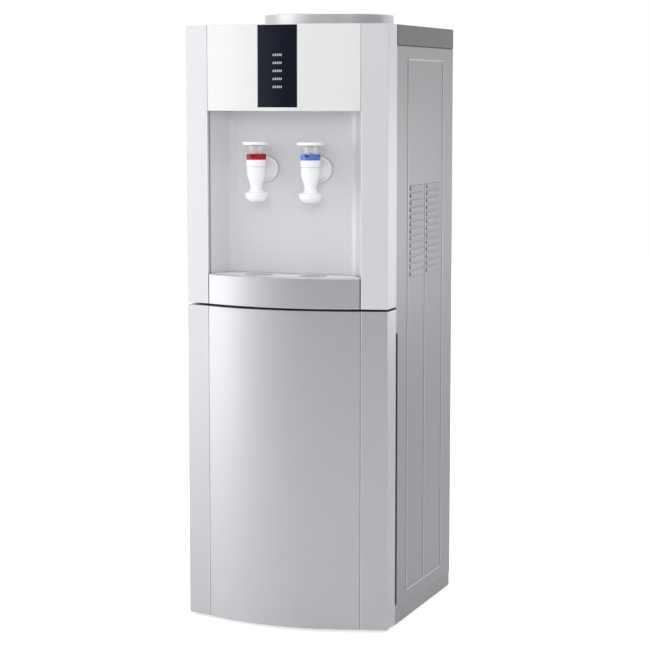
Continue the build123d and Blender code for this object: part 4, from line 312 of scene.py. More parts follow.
# grey dust that gathers low down and in patches
dust, dust_in, dust_out = effect(
    "settled dust",
    [
        ("Vector", "NodeSocketVector", None),
        ("Colour", "NodeSocketColor", (0.5, 0.5, 0.5, 1)),
        ("Amount", "NodeSocketFloat", 0.2),
        ("Top", "NodeSocketFloat", 0.25),
    ],
    [("Color", "NodeSocketColor"), ("Mask", "NodeSocketFloat")],
)
dust_low = spread(dust, axes(dust, dust_in["Vector"])["Z"], 0.0, dust_in["Top"], 1.0, 0.0)
dust_patch = spread(dust, noise(dust, dust_in["Vector"], 26.0, 5.0, 0.65), 0.4, 0.72, 0.0, 1.0)
dust_mask = maths(dust, "MULTIPLY", maths(dust, "MULTIPLY", dust_low, dust_patch), dust_in["Amount"])
dust.links.new(tinted(dust, dust_mask, dust_in["Colour"], DUST_GREY), dust_out["Color"])
dust.links.new(dust_mask, dust_out["Mask"])

# outer edges rounded, with a painted highlight along them, and painted shade in seams and inner corners
edge_light_shade, edge_light_shade_in, edge_light_shade_out = effect(
    "painted edge highlight and seam shade",
    [
        ("Colour", "NodeSocketColor", (0.5, 0.5, 0.5, 1)),
        ("Highlight", "NodeSocketColor", (0.9, 0.9, 0.9, 1)),
        ("Light", "NodeSocketFloat", 0.3),
        ("Dark", "NodeSocketFloat", 0.5),
    ],
    [("Color", "NodeSocketColor"), ("Normal", "NodeSocketVector")],
)
edge_rounding = edge_light_shade.nodes.new("ShaderNodeBevel")
edge_rounding.samples = 6
edge_rounding.inputs["Radius"].default_value = EDGE_ROUND_RADIUS
edge_turn = edge_light_shade.nodes.new("ShaderNodeVectorMath")
edge_turn.operation = "DOT_PRODUCT"
edge_light_shade.links.new(edge_rounding.outputs["Normal"], edge_turn.inputs[0])
edge_light_shade.links.new(edge_light_shade.nodes.new("ShaderNodeNewGeometry").outputs["Normal"], edge_turn.inputs[1])
edge_bent = spread(edge_light_shade, edge_turn.outputs["Value"], *HIGHLIGHT_TURN, 0.0, 1.0)
edge_highlight_mask = maths(edge_light_shade, "MULTIPLY", edge_bent, edge_light_shade_in["Light"])
seam_occlusion = edge_light_shade.nodes.new("ShaderNodeAmbientOcclusion")
seam_occlusion.samples = 4
seam_occlusion.inputs["Distance"].default_value = SEAM_SHADE_REACH
seam_shade_least = maths(edge_light_shade, "SUBTRACT", 1.0, edge_light_shade_in["Dark"])
seam_shade_factor = spread(edge_light_shade, seam_occlusion.outputs["AO"], *SEAM_SHADE_OPENNESS, seam_shade_least, 1.0)
edge_highlight_colour = tinted(edge_light_shade, edge_highlight_mask, edge_light_shade_in["Colour"], edge_light_shade_in["Highlight"])
edge_light_shade.links.new(scaled(edge_light_shade, edge_highlight_colour, seam_shade_factor), edge_light_shade_out["Color"])
edge_light_shade.links.new(edge_rounding.outputs["Normal"], edge_light_shade_out["Normal"])


def finish(
    name, group, base, shade, scale, roughness, bump,
    metallic=0.0, coat=0.0, dusty=0.0, specular=0.5, light=0.25, dark=0.45, distance=0.0001, marks=None,
):
    """Material on the Principled shader: a surface effect, then dust, painted marks, a painted edge
    highlight and painted seam shade.

    marks takes the tree, the place and the colour so far, and returns the colour with the marks on it.
    """
    material = bpy.data.materials.new(name)
    material.use_nodes = True
    tree = material.node_tree
    skin = tree.nodes["Principled BSDF"]
    place = tree.nodes.new("ShaderNodeTexCoord").outputs["Object"]
    texture = tree.nodes.new("ShaderNodeGroup")
    texture.node_tree = group
    tree.links.new(place, texture.inputs["Vector"])
    texture.inputs["Base"].default_value = (*base, 1)
    texture.inputs["Shade"].default_value = shade
    texture.inputs["Scale"].default_value = scale
    colour = texture.outputs["Color"]
    worn = maths(tree, "ADD", texture.outputs["Roughness"], roughness)
    if dusty:
        layer = tree.nodes.new("ShaderNodeGroup")
        layer.node_tree = dust
        tree.links.new(place, layer.inputs["Vector"])
        tree.links.new(colour, layer.inputs["Colour"])
        layer.inputs["Amount"].default_value = dusty
        colour = layer.outputs["Color"]
        worn = maths(tree, "ADD", worn, maths(tree, "MULTIPLY", layer.outputs["Mask"], DUST_ROUGHNESS))
    if marks:
        colour = marks(tree, place, colour)
    edges = tree.nodes.new("ShaderNodeGroup")
    edges.node_tree = edge_light_shade
    tree.links.new(colour, edges.inputs["Colour"])
    # painted highlight colour for the edges is the base lightened; light and dark set the painted edge
    # highlight and the painted seam shade
    edges.inputs["Highlight"].default_value = (*(min(1.0, 0.2 + 1.1 * part) for part in base), 1)
    edges.inputs["Light"].default_value = light
    edges.inputs["Dark"].default_value = dark
    tree.links.new(edges.outputs["Color"], skin.inputs["Base Color"])
    tree.links.new(worn, skin.inputs["Roughness"])
    bumps = tree.nodes.new("ShaderNodeBump")
    bumps.inputs["Strength"].default_value = bump
    bumps.inputs["Distance"].default_value = distance
    tree.links.new(texture.outputs["Height"], bumps.inputs["Height"])
    tree.links.new(edges.outputs["Normal"], bumps.inputs["Normal"])
    tree.links.new(bumps.outputs["Normal"], skin.inputs["Normal"])
    skin.inputs["Metallic"].default_value = metallic
    skin.inputs["Specular IOR Level"].default_value = specular
    skin.inputs["Coat Weight"].default_value = coat
    skin.inputs["Coat Roughness"].default_value = COAT_ROUGHNESS
    return material


def dress(material, *names):
    """Puts a material on CAD nodes."""
    for name in names:
        for slot in nodes[name].material_slots:
            slot.material = material


sheet_low, sheet_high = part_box("right_side_panel")
back_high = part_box("back_panel")[1]


def sheet_highlight_and_shade(tree, place, colour):
    """Painted highlight on the bead tops and the front fold, and painted shade in the seam under the cover
    and at the beads' feet.
    """
    at = axes(tree, place)
    out = maths(tree, "SUBTRACT", maths(tree, "ABSOLUTE", at["X"]), back_high[0])
    bead = between(tree, out, BEAD_FOOT, BEAD_TOP)
    aside = maths(tree, "ABSOLUTE", maths(tree, "SUBTRACT", at["Y"], VENT_MIDDLE_Y))
    beside = between(tree, aside, VENT_NEAR, VENT_FAR)
    vents = maths(tree, "MULTIPLY", beside, between(tree, at["Z"], VENT_LOW, VENT_HIGH))
    bead = maths(tree, "MULTIPLY", bead, maths(tree, "SUBTRACT", 1.0, vents))
    fold = maths(tree, "LESS_THAN", at["Y"], sheet_low[1] + FRONT_FOLD)
    bright = maths(tree, "MULTIPLY", maths(tree, "MAXIMUM", bead, fold), HIGHLIGHT_SHARE)
    seam = maths(tree, "GREATER_THAN", at["Z"], sheet_high[2] - TOP_SEAM)
    groove = maths(tree, "MULTIPLY", between(tree, out, BEAD_GROOVE, BEAD_FOOT), GROOVE_SHADE_SHARE)
    dark = maths(tree, "MAXIMUM", seam, groove)
    return tinted(tree, dark, tinted(tree, bright, colour, SHEET_HIGHLIGHT_GREY), PAINTED_SHADE_BLACK)


side_paint = finish(
    "grey side paint", flake, SHEET_GREY, 0.9, 2600.0, 0.42, 0.25,
    metallic=0.45, coat=0.1, dusty=0.25, marks=sheet_highlight_and_shade,
)
back_paint = finish(
    "grey back paint", flake, SHEET_GREY, 0.9, 2600.0, 0.44, 0.25, metallic=0.45, coat=0.1, dusty=0.3
)
dress(side_paint, "left_side_panel", "right_side_panel")
dress(back_paint, "back_panel")

# ---- Casing screws ----
# Pan-headed self-tapping screws of bright zinc-plated steel with a cross recess, driven through the back
# panel into the folded edges of the sides. Eight of them, four down each side.
SCREW_X = 0.173
SCREW_ZS = (0.060, 0.340, 0.620, 0.930)
SCREW_OUTLINE = (
    (0, -0.004), (0.0019, -0.004), (0.0019, 0), (0.0036, 0), (0.0036, 0.0007),
    (0.0032, 0.0015), (0.0021, 0.0021), (0, 0.0023),
)
RECESS_LENGTH = 0.0036
RECESS_WIDTH = 0.0008
RECESS_DEPTH = 0.0013
SCREW_ZINC = (0.56, 0.56, 0.55)
WELD = 1e-5  # points nearer than this become one
SMOOTH_ANGLE = 35.0  # edges that turn less than this are shaded smooth


def choose(piece):
    """Leaves this piece alone selected and active."""
    bpy.ops.object.select_all(action="DESELECT")
    piece.select_set(True)
    bpy.context.view_layer.objects.active = piece


def turned(name, outline, place, along="Z", turns=32):
    """Closed lathe form: an outline of (radius, height) points spun round an axis through place."""
    bpy.ops.object.select_all(action="DESELECT")
    bpy.ops.mesh.primitive_plane_add(size=0.002, location=place)
    piece = bpy.context.object
    piece.name = name
    bpy.ops.object.transform_apply(location=True, rotation=False, scale=False)
    bpy.ops.object.mode_set(mode="EDIT")
    bpy.ops.mesh.select_all(action="SELECT")
    bpy.ops.mesh.merge(type="CENTER")

    def step(radius, height):
        return (radius, 0, height) if along == "Z" else (radius, height, 0)

    bpy.ops.transform.translate(value=step(*outline[0]))
    for (r0, h0), (r1, h1) in zip(outline, outline[1:]):
        bpy.ops.mesh.extrude_region_move(TRANSFORM_OT_translate={"value": step(r1 - r0, h1 - h0)})
    bpy.ops.mesh.select_all(action="SELECT")
    axis = (0, 0, 1) if along == "Z" else (0, 1, 0)
    bpy.ops.mesh.spin(steps=turns, angle=2 * pi, center=place, axis=axis)
    bpy.ops.mesh.select_all(action="SELECT")
    bpy.ops.mesh.remove_doubles(threshold=WELD)
    bpy.ops.mesh.normals_make_consistent(inside=False)
    bpy.ops.object.mode_set(mode="OBJECT")
    return piece


def block(name, low, high, bevel=0.0):
    """Block between two corners, its edges bevelled."""
    bpy.ops.object.select_all(action="DESELECT")
    middle = [(a + b) / 2 for a, b in zip(low, high)]
    bpy.ops.mesh.primitive_cube_add(size=1.0, location=middle)
    piece = bpy.context.object
    piece.name = name
    piece.scale = [b - a for a, b in zip(low, high)]
    bpy.ops.object.transform_apply(location=True, rotation=False, scale=True)
    if bevel:
        bpy.ops.object.mode_set(mode="EDIT")
        bpy.ops.mesh.select_all(action="SELECT")
        bpy.ops.mesh.bevel(offset=bevel, segments=2)
        bpy.ops.object.mode_set(mode="OBJECT")
    return piece


def cut(piece, tool):
    """Takes the tool's form out of a piece and deletes the tool."""
    choose(piece)
    carve = piece.modifiers.new("cut", "BOOLEAN")
    carve.operation = "DIFFERENCE"
    carve.solver = "EXACT"
    carve.object = tool
    bpy.ops.object.modifier_apply(modifier=carve.name)
    bpy.data.objects.remove(tool)


def copied(piece, name, shift):
    """Copy of a piece with a mesh of its own, moved by shift."""
    choose(piece)
    bpy.ops.object.duplicate(linked=False)
    twin = bpy.context.object
    twin.name = name
    bpy.ops.transform.translate(value=shift)
    bpy.ops.object.transform_apply(location=True, rotation=False, scale=False)
    return twin


def fit(piece, body, material):
    """Finishes a new piece: its shading, its material and the body that it rides on."""
    piece.data.materials.clear()
    piece.data.materials.append(material)
    choose(piece)
    bpy.ops.object.shade_smooth_by_angle(angle=radians(SMOOTH_ANGLE))
    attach(piece, body)


def pan_screw(name, place):
    """Screw with its head's seat at place, driven towards the front."""
    screw = turned(name, SCREW_OUTLINE, place, along="Y", turns=24)
    head_y = place[1] + SCREW_OUTLINE[-1][1]
    for half_x, half_z in ((RECESS_LENGTH / 2, RECESS_WIDTH / 2), (RECESS_WIDTH / 2, RECESS_LENGTH / 2)):
        low = (place[0] - half_x, head_y - RECESS_DEPTH, place[2] - half_z)
        high = (place[0] + half_x, head_y + RECESS_DEPTH, place[2] + half_z)
        cut(screw, block("recess_tool", low, high))
    return screw


# crystals of a zinc coating
spangle, spangle_in, spangle_out = surface("zinc spangle", 130.0)
spangle_cells = spangle.nodes.new("ShaderNodeTexVoronoi")
spangle.links.new(spangle_in["Vector"], spangle_cells.inputs["Vector"])
spangle.links.new(spangle_in["Scale"], spangle_cells.inputs["Scale"])
spangle_tone = maths(spangle, "MULTIPLY", spangle_cells.outputs["Color"], 1.0)
spangle_rough = spread(spangle, spangle_tone, 0.1, 0.9, -0.06, 0.08)
spangle_height = noise(spangle, spangle_in["Vector"], 900.0)
close_surface(spangle, spangle_in, spangle_out, spangle_tone, spangle_rough, spangle_height)

screw_zinc = finish("screw zinc", spangle, SCREW_ZINC, 0.8, 900.0, 0.34, 0.1, metallic=1.0)
first_screw = pan_screw("casing_screw_1", (-SCREW_X, back_high[1], SCREW_ZS[0]))
casing_screws = [first_screw]
for x in (-SCREW_X, SCREW_X):
    for z in SCREW_ZS:
        if (x, z) != (-SCREW_X, SCREW_ZS[0]):
            number = len(casing_screws) + 1
            shift = (x + SCREW_X, 0, z - SCREW_ZS[0])
            casing_screws.append(copied(first_screw, f"casing_screw_{number}", shift))
for screw in casing_screws:
    fit(screw, "cooler", screw_zinc)

# ---- Plinth and feet ----
# The plinth is moulded in grey plastic with a fine leathery grain and carries the whole casing. The feet
# are black rubber pads whose stems push up into it.
PLINTH_GREY = (0.33, 0.33, 0.34)
RUBBER_BLACK = (0.03, 0.03, 0.03)

# fine grain of a moulded skin, with a slow change of shade
grain, grain_in, grain_out = surface("moulded skin", 900.0)
grain_broad = noise(grain, grain_in["Vector"], 9.0, 2.0)
grain_fine = noise(grain, grain_in["Vector"], grain_in["Scale"], 3.0, 0.6)
grain_mix = spread(grain, grain_broad, 0.15, 0.85, 0.0, 1.0)
grain_rough = spread(grain, grain_broad, 0.0, 1.0, 0.015, -0.015)
close_surface(grain, grain_in, grain_out, grain_mix, grain_rough, grain_fine)

plinth_moulding = finish("plinth moulding", grain, PLINTH_GREY, 0.9, 1400.0, 0.46, 0.35, dusty=0.4)
foot_rubber = finish("foot rubber", grain, RUBBER_BLACK, 0.7, 700.0, 0.75, 0.5, light=0.1)
dress(plinth_moulding, "base_plinth")
dress(foot_rubber, "feet")

# ---- Top cover ----
# A moulded lid in dark grey plastic over the casing, open in the middle for the reservoir. Its grain is
# finer than the plinth's, and its edges, the lower one where it meets the sheet among them, get a stronger
# painted highlight.
COVER_GREY = (0.155, 0.155, 0.165)

cover_moulding = finish("cover moulding", grain, COVER_GREY, 0.86, 1400.0, 0.46, 0.35, light=0.5, dark=0.6)
dress(cover_moulding, "top_cover")

# ---- Collar and reservoir cap ----
# A round collar on the top cover with a lift-off cap in it, both moulded and sprayed silver. The cap
# closes the cold tank's jacket, and is lifted by the bar between its two finger pockets.
COLLAR_SILVER = (0.74, 0.74, 0.755)

collar_silver = finish(
    "collar silver", flake, COLLAR_SILVER, 0.93, 3200.0, 0.34, 0.1, metallic=0.42, coat=0.15
)
dress(collar_silver, "collar", "collar_cap")

# ---- Door ----
# A deep moulded frame with flat side strips, and a bowed panel bonded into it. Both are sprayed in fine
# silver. The liner inside is white, and the hinge bushes are black.
PANEL_SILVER = (0.56, 0.56, 0.58)
STRIP_SILVER = (0.54, 0.54, 0.56)
LINER_WHITE = (0.74, 0.74, 0.73)
MOULDING_BLACK = (0.03, 0.03, 0.032)
SEAM_X = 0.137  # half width of the bowed panels' bed
SEAM_LINE = 0.0010
SEAM_SHARE = 0.75  # of the painted shade black on that line
SEAM_EDGE = 0.0011
EDGE_LIGHT = (0.9, 0.9, 0.9, 1)
EDGE_SHARE = 0.7  # of that painted highlight on the strip's edge


def seam_marks(half_width):
    """Shadow line down each side of a bowed piece of this half width, where it lies against the strip."""

    def marks(tree, place, colour):
        out = maths(tree, "ABSOLUTE", axes(tree, place)["X"])
        line = maths(tree, "GREATER_THAN", out, half_width - SEAM_LINE)
        return tinted(tree, maths(tree, "MULTIPLY", line, SEAM_SHARE), colour, PAINTED_SHADE_BLACK)

    return marks


def strip_edge_highlight(tree, place, colour):
    """Painted highlight along a strip's edge beside the bowed panel."""
    out = maths(tree, "ABSOLUTE", axes(tree, place)["X"])
    edge = between(tree, out, SEAM_X - SEAM_EDGE, SEAM_X + SEAM_EDGE)
    return tinted(tree, maths(tree, "MULTIPLY", edge, EDGE_SHARE), colour, EDGE_LIGHT)


door_silver = finish(
    "door silver", flake, PANEL_SILVER, 0.94, 3000.0, 0.42, 0.12, metallic=0.88, coat=0.1, dusty=0.1,
    light=0.8, marks=seam_marks(SEAM_X),
)
strip_silver = finish(
    "strip silver", flake, STRIP_SILVER, 0.95, 3000.0, 0.42, 0.12, metallic=0.80, coat=0.1, dusty=0.1,
    light=0.8, marks=strip_edge_highlight,
)
liner_white = finish("liner white", grain, LINER_WHITE, 0.93, 1100.0, 0.45, 0.25, dusty=0.15)
black_moulding = finish("black moulding", grain, MOULDING_BLACK, 0.7, 1200.0, 0.45, 0.3, light=0.15)
dress(door_silver, "door_panel")
dress(strip_silver, "door_frame")
dress(liner_white, "door_liner")
dress(black_moulding, "door_bushes")

# ---- Hinges and magnet catches ----
# Zinc-plated steel brackets with turned pins carry the door. Two magnets in black holders hold it shut
# by their steel pole strips, which meet plates on the door's liner.
POLE_WIDTH = 0.0018
POLE_PITCH = 0.0060
POLE_PROUD = 0.00012
POLE_SUNK = 0.001
POLE_END = 0.003
POLE_BEVEL = 0.0001
CATCH_LENGTH = 0.036
PLATE_ZINC = (0.52, 0.52, 0.525)
POLE_STEEL = (0.50, 0.50, 0.50)

zinc_plate = finish("zinc plate", spangle, PLATE_ZINC, 0.8, 130.0, 0.36, 0.15, metallic=0.9)
dress(zinc_plate, "hinge_brackets", "door_strikes")
dress(black_moulding, "magnet_catches")
pole_steel = finish("pole steel", flake, POLE_STEEL, 0.8, 1800.0, 0.30, 0.15, metallic=1.0)
catch_low, catch_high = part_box("magnet_catches")
catch_x = (catch_low[0] + catch_high[0]) / 2
for level, catch_z in (("lower", catch_low[2]), ("upper", catch_high[2] - CATCH_LENGTH)):
    for side, x in (("inner", catch_x - POLE_PITCH / 2), ("outer", catch_x + POLE_PITCH / 2)):
        low = (x - POLE_WIDTH / 2, catch_low[1] - POLE_PROUD, catch_z + POLE_END)
        high = (x + POLE_WIDTH / 2, catch_low[1] + POLE_SUNK, catch_z + CATCH_LENGTH - POLE_END)
        fit(block(f"pole_{level}_{side}", low, high, POLE_BEVEL), "cooler", pole_steel)

# ---- Upper front ----
# A moulded frame with the same flat strips as the door, sprayed pale silver, and a gloss white fascia
# bonded between the strips over the alcove.
FRAME_SILVER = (0.69, 0.69, 0.71)
FASCIA_WHITE = (0.80, 0.797, 0.79)

frame_silver = finish(
    "upper frame silver", flake, FRAME_SILVER, 0.96, 3000.0, 0.38, 0.1, metallic=0.14, coat=0.1,
    light=0.6, marks=strip_edge_highlight,
)
fascia_white = finish(
    "fascia white", grain, FASCIA_WHITE, 0.985, 500.0, 0.28, 0.04, coat=0.2, marks=seam_marks(SEAM_X)
)
dress(frame_silver, "front_frame")
dress(fascia_white, "fascia_panel")

# ---- Display ----
# A black tinted window set in the fascia over a green board with five lamps. Beside each lamp a short row
# of slanted strokes is printed on the window in off-white.
WINDOW_BLACK = (0.008, 0.010, 0.020)
BOARD_GREEN = (0.02, 0.13, 0.05)
PRINT_WHITE = (0.80, 0.80, 0.78)
ROW_ZS = (0.962, 0.949, 0.936, 0.923, 0.910)
STROKE_XS = (-0.0068, -0.0034, 0.0000, 0.0034, 0.0068)
STROKE_WIDTH = 0.0016
STROKE_HEIGHT = 0.0038
STROKE_LEAN = 0.0010
PRINT_PROUD = 0.00012
PRINT_SUNK = 0.0003
WINDOW_RADIUS = 0.36067
BOW_CENTRE_Y = 0.15457

window_black = finish(
    "window black", grain, WINDOW_BLACK, 0.8, 500.0, 0.12, 0.02, specular=0.22, light=0.05, dark=0.2
)
board_green = finish("board green", grain, BOARD_GREEN, 0.8, 600.0, 0.35, 0.1)
print_white = finish("window print", grain, PRINT_WHITE, 0.95, 800.0, 0.5, 0.05, light=0.1)
dress(window_black, "display_window")
dress(board_green, "display_board")


def joined(pieces, name):
    """One piece made of several."""
    bpy.ops.object.select_all(action="DESELECT")
    for piece in pieces:
        piece.select_set(True)
    bpy.context.view_layer.objects.active = pieces[0]
    bpy.ops.object.join()
    whole = bpy.context.object
    whole.name = name
    return whole


def row_of_strokes(name, middle_z):
    """Row of short slanted strokes that lie on the window's bow."""
    strokes = []
    for number, x in enumerate(STROKE_XS):
        face_y = BOW_CENTRE_Y - sqrt(WINDOW_RADIUS**2 - x**2)
        low = (x - STROKE_WIDTH / 2, face_y - PRINT_PROUD, middle_z - STROKE_HEIGHT / 2)
        high = (x + STROKE_WIDTH / 2, face_y + PRINT_SUNK, middle_z + STROKE_HEIGHT / 2)
        strokes.append(block(f"stroke_{number}", low, high))
    row = joined(strokes, name)
    bpy.ops.object.mode_set(mode="EDIT")
    bpy.ops.mesh.select_mode(type="VERT")
    bpy.ops.mesh.select_all(action="DESELECT")
    bpy.ops.object.mode_set(mode="OBJECT")
    for corner in row.data.vertices:
        corner.select = corner.co.z > middle_z
    bpy.ops.object.mode_set(mode="EDIT")
    bpy.ops.transform.translate(value=(STROKE_LEAN, 0, 0))
    bpy.ops.object.mode_set(mode="OBJECT")
    return row


first_row = row_of_strokes("display_row_1", ROW_ZS[0])
display_rows = [first_row]
for number, z in enumerate(ROW_ZS[1:], start=2):
    display_rows.append(copied(first_row, f"display_row_{number}", (0, 0, z - ROW_ZS[0])))
for row in display_rows:
    fit(row, "cooler", print_white)

# ---- Alcove ----
# A one-piece moulded liner behind the upper front, sprayed pale silver, with rounded rear corners. The
# taps are screwed through its back wall.
ALCOVE_SILVER = (0.73, 0.725, 0.75)
MOUTH_Y = -0.1711
MOUTH_LINE = 0.0014
MOUTH_SHARE = 0.6  # of the painted shade black on that line


def mouth_marks(tree, place, colour):
    """Shadow line where the liner starts behind the upper front."""
    line = maths(tree, "LESS_THAN", axes(tree, place)["Y"], MOUTH_Y + MOUTH_LINE)
    return tinted(tree, maths(tree, "MULTIPLY", line, MOUTH_SHARE), colour, PAINTED_SHADE_BLACK)


alcove_silver = finish(
    "alcove silver", flake, ALCOVE_SILVER, 0.96, 3000.0, 0.32, 0.12, metallic=0.1, coat=0.12,
    marks=mouth_marks,
)
dress(alcove_silver, "alcove_liner")

# ---- Drip tray and grille ----
# A moulded tray with a bowed, silver-sprayed face slides in under the taps. The slotted grille drops into
# its rim, and is a paler silver.
TRAY_SILVER = (0.56, 0.56, 0.575)
GRILLE_SILVER = (0.94, 0.94, 0.945)
SLOT_LIP = 0.0004
SLOT_SHARE = 0.5  # of the painted shade black below that lip

tray_silver = finish(
    "tray silver", flake, TRAY_SILVER, 0.94, 3000.0, 0.38, 0.12, metallic=0.82, coat=0.1, light=0.9,
    marks=seam_marks(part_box("drip_tray")[1][0]),
)


def slot_marks(tree, place, colour):
    """Shade inside the slots and round the grille's edge."""
    sunk = maths(tree, "LESS_THAN", axes(tree, place)["Z"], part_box("drip_grille")[1][2] - SLOT_LIP)
    return tinted(tree, maths(tree, "MULTIPLY", sunk, SLOT_SHARE), colour, PAINTED_SHADE_BLACK)


grille_silver = finish(
    "grille silver", flake, GRILLE_SILVER, 0.98, 3000.0, 0.34, 0.12, coat=0.25, light=0.3, dark=0.3,
    marks=slot_marks,
)
dress(tray_silver, "drip_tray")
dress(grille_silver, "drip_grille")

# ---- Taps ----
# White moulded bodies with a screw cap, coloured crown rings, and clear funnels under white discs that
# are pushed down. A steel spring lifts each button, and a nut and a rubber washer hold the body.
TAP_WHITE = (0.97, 0.97, 0.97)
HOT_RED = (0.52, 0.004, 0.022)
COLD_BLUE = (0.09, 0.20, 0.70)
CLEAR_TINT = (0.97, 0.97, 0.98)
CLEAR_TRANSMISSION = 0.4
CLEAR_IOR = 1.3
CLEAR_ALPHA = 0.24
SPRING_STEEL = (0.56, 0.56, 0.55)
FLANGE_DEPTH = 0.004  # of the wall flange, in front of its washer
FLANGE_BEADS = (0.0204, 0.0190)  # radii of the two moulded rings on the wall flange
BEAD_WIDTH = 0.0005
BEAD_RISE = 0.0004
BEAD_SUNK = 0.0003
RIB_COUNT = 3
RIB_THICKNESS = 0.0024
RIB_BEVEL = 0.0002
RIB_FOOT_R = 0.0110
RIB_TOP_R = 0.0184
RIB_INNER_R = 0.0042
RIB_LOW = 0.7995
RIB_HIGH = 0.8143
RIB_TURN = 65.0  # degrees from the left, for the first rib
DISC_THICKNESS = 0.0052
DISC_FOOT = (0.0006, 0.0008)  # the rounding of the lower rim, inwards and up
DISC_RIM = (0.0004, 0.0005)  # the corner of the upper rim's rounding, inwards and down
DISC_ROUND = 0.0014  # the upper rim's rounding as a whole
COIL_WELD = 1e-6

tap_white = finish("tap white", grain, TAP_WHITE, 0.99, 500.0, 0.24, 0.04, coat=0.3, dark=0.12)
ring_red = finish("hot red", grain, HOT_RED, 0.85, 500.0, 0.25, 0.05, specular=0.3, light=0.06)
ring_blue = finish("cold blue", grain, COLD_BLUE, 0.85, 500.0, 0.25, 0.05, coat=0.3, light=0.12)
dress(tap_white, "hot_tap_body", "cold_tap_body", "tap_caps")
dress(ring_red, "hot_ring")
dress(ring_blue, "cold_ring")
dress(foot_rubber, "tap_gaskets")
dress(liner_white, "tap_nuts")

clear_plastic = finish(
    "clear plastic", grain, CLEAR_TINT, 0.99, 400.0, 0.08, 0.02, specular=0.3, light=0.0, dark=0.0
)
clear_skin = clear_plastic.node_tree.nodes["Principled BSDF"]
clear_skin.inputs["Transmission Weight"].default_value = CLEAR_TRANSMISSION
clear_skin.inputs["IOR"].default_value = CLEAR_IOR
clear_skin.inputs["Alpha"].default_value = CLEAR_ALPHA
dress(clear_plastic, "hot_button_stem", "cold_button_stem")

# turned marks of drawn metal
drawn, drawn_in, drawn_out = surface("drawn metal", 900.0)
drawn_axes = axes(drawn, drawn_in["Vector"])
drawn_long = drawn.nodes.new("ShaderNodeCombineXYZ")
drawn.links.new(maths(drawn, "MULTIPLY", drawn_axes["X"], 0.02), drawn_long.inputs["X"])
drawn.links.new(maths(drawn, "MULTIPLY", drawn_axes["Y"], 0.02), drawn_long.inputs["Y"])
drawn.links.new(drawn_axes["Z"], drawn_long.inputs["Z"])
drawn_line = noise(drawn, drawn_long.outputs[0], drawn_in["Scale"], 4.0, 0.7)
drawn_mix = spread(drawn, drawn_line, 0.3, 0.7, 0.0, 1.0)
drawn_rough = spread(drawn, drawn_line, 0.3, 0.7, -0.05, 0.07)
close_surface(drawn, drawn_in, drawn_out, drawn_mix, drawn_rough, drawn_line)

spring_steel = finish("spring steel", drawn, SPRING_STEEL, 0.85, 900.0, 0.30, 0.1, metallic=1.0)


def flange_beads(name, x):
    """Moulded rings on the front of a tap's wall flange."""
    low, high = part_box("tap_gaskets")
    place = (x, low[1] - FLANGE_DEPTH, (low[2] + high[2]) / 2)
    rings = []
    for radius in FLANGE_BEADS:
        outline = (
            (radius, BEAD_SUNK), (radius + BEAD_WIDTH / 2, BEAD_SUNK), (radius + BEAD_WIDTH / 2, 0),
            (radius + BEAD_WIDTH / 4, -BEAD_RISE), (radius - BEAD_WIDTH / 4, -BEAD_RISE),
            (radius - BEAD_WIDTH / 2, 0), (radius - BEAD_WIDTH / 2, BEAD_SUNK), (radius, BEAD_SUNK),
        )
        rings.append(turned("bead", outline, place, along="Y", turns=64))
    return joined(rings, name)


def funnel_ribs(name, x, y):
    """White ribs that stand a little proud of a clear funnel, from its stem through its wall."""
    half = RIB_THICKNESS / 2
    low = (x - RIB_TOP_R, y - half, RIB_LOW)
    high = (x - RIB_INNER_R, y + half, RIB_HIGH)
    rib = block("rib", low, high, RIB_BEVEL)
    for corner in rib.data.vertices:
        corner.select = corner.co.z < (RIB_LOW + RIB_HIGH) / 2 and corner.co.x < x - RIB_FOOT_R
    bpy.ops.object.mode_set(mode="EDIT")
    bpy.ops.mesh.select_mode(type="VERT")
    bpy.ops.transform.translate(value=(RIB_TOP_R - RIB_FOOT_R, 0, 0))
    bpy.ops.object.mode_set(mode="OBJECT")
    ribs = []
    for number in range(RIB_COUNT):
        twin = copied(rib, f"rib_{number}", (0, 0, 0))
        bpy.ops.object.mode_set(mode="EDIT")
        bpy.ops.mesh.select_all(action="SELECT")
        turn = radians(RIB_TURN + 360.0 / RIB_COUNT * number)
        bpy.ops.transform.rotate(value=-turn, orient_axis="Z", center_override=(x, y, RIB_LOW))
        bpy.ops.object.mode_set(mode="OBJECT")
        ribs.append(twin)
    bpy.data.objects.remove(rib)
    return joined(ribs, name)


def button_disc(side, x, y):
    """Disc of a button with rounded rims, thicker than the plain solid that it stands for."""
    low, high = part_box(f"{side}_button_disc")
    radius = (high[0] - low[0]) / 2
    outline = (
        (0, 0), (radius - DISC_FOOT[0], 0), (radius, DISC_FOOT[1]), (radius, DISC_THICKNESS - DISC_ROUND),
        (radius - DISC_RIM[0], DISC_THICKNESS - DISC_RIM[1]), (radius - DISC_ROUND, DISC_THICKNESS),
        (0, DISC_THICKNESS),
    )
    disc = turned(f"{side}_disc", outline, (x, y, low[2]), turns=64)
    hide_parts(f"{side}_button_disc")
    return disc


def button_coil(side):
    """Return spring of a button, in the form of its solid, on a mesh of its own."""
    coil = bpy.data.objects.new(f"{side}_coil", nodes[f"{side}_spring"].data.copy())
    scene.collection.objects.link(coil)
    choose(coil)
    bpy.ops.object.mode_set(mode="EDIT")
    bpy.ops.mesh.select_all(action="SELECT")
    bpy.ops.mesh.remove_doubles(threshold=COIL_WELD)
    bpy.ops.mesh.normals_make_consistent(inside=False)
    bpy.ops.object.mode_set(mode="OBJECT")
    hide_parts(f"{side}_spring")
    return coil


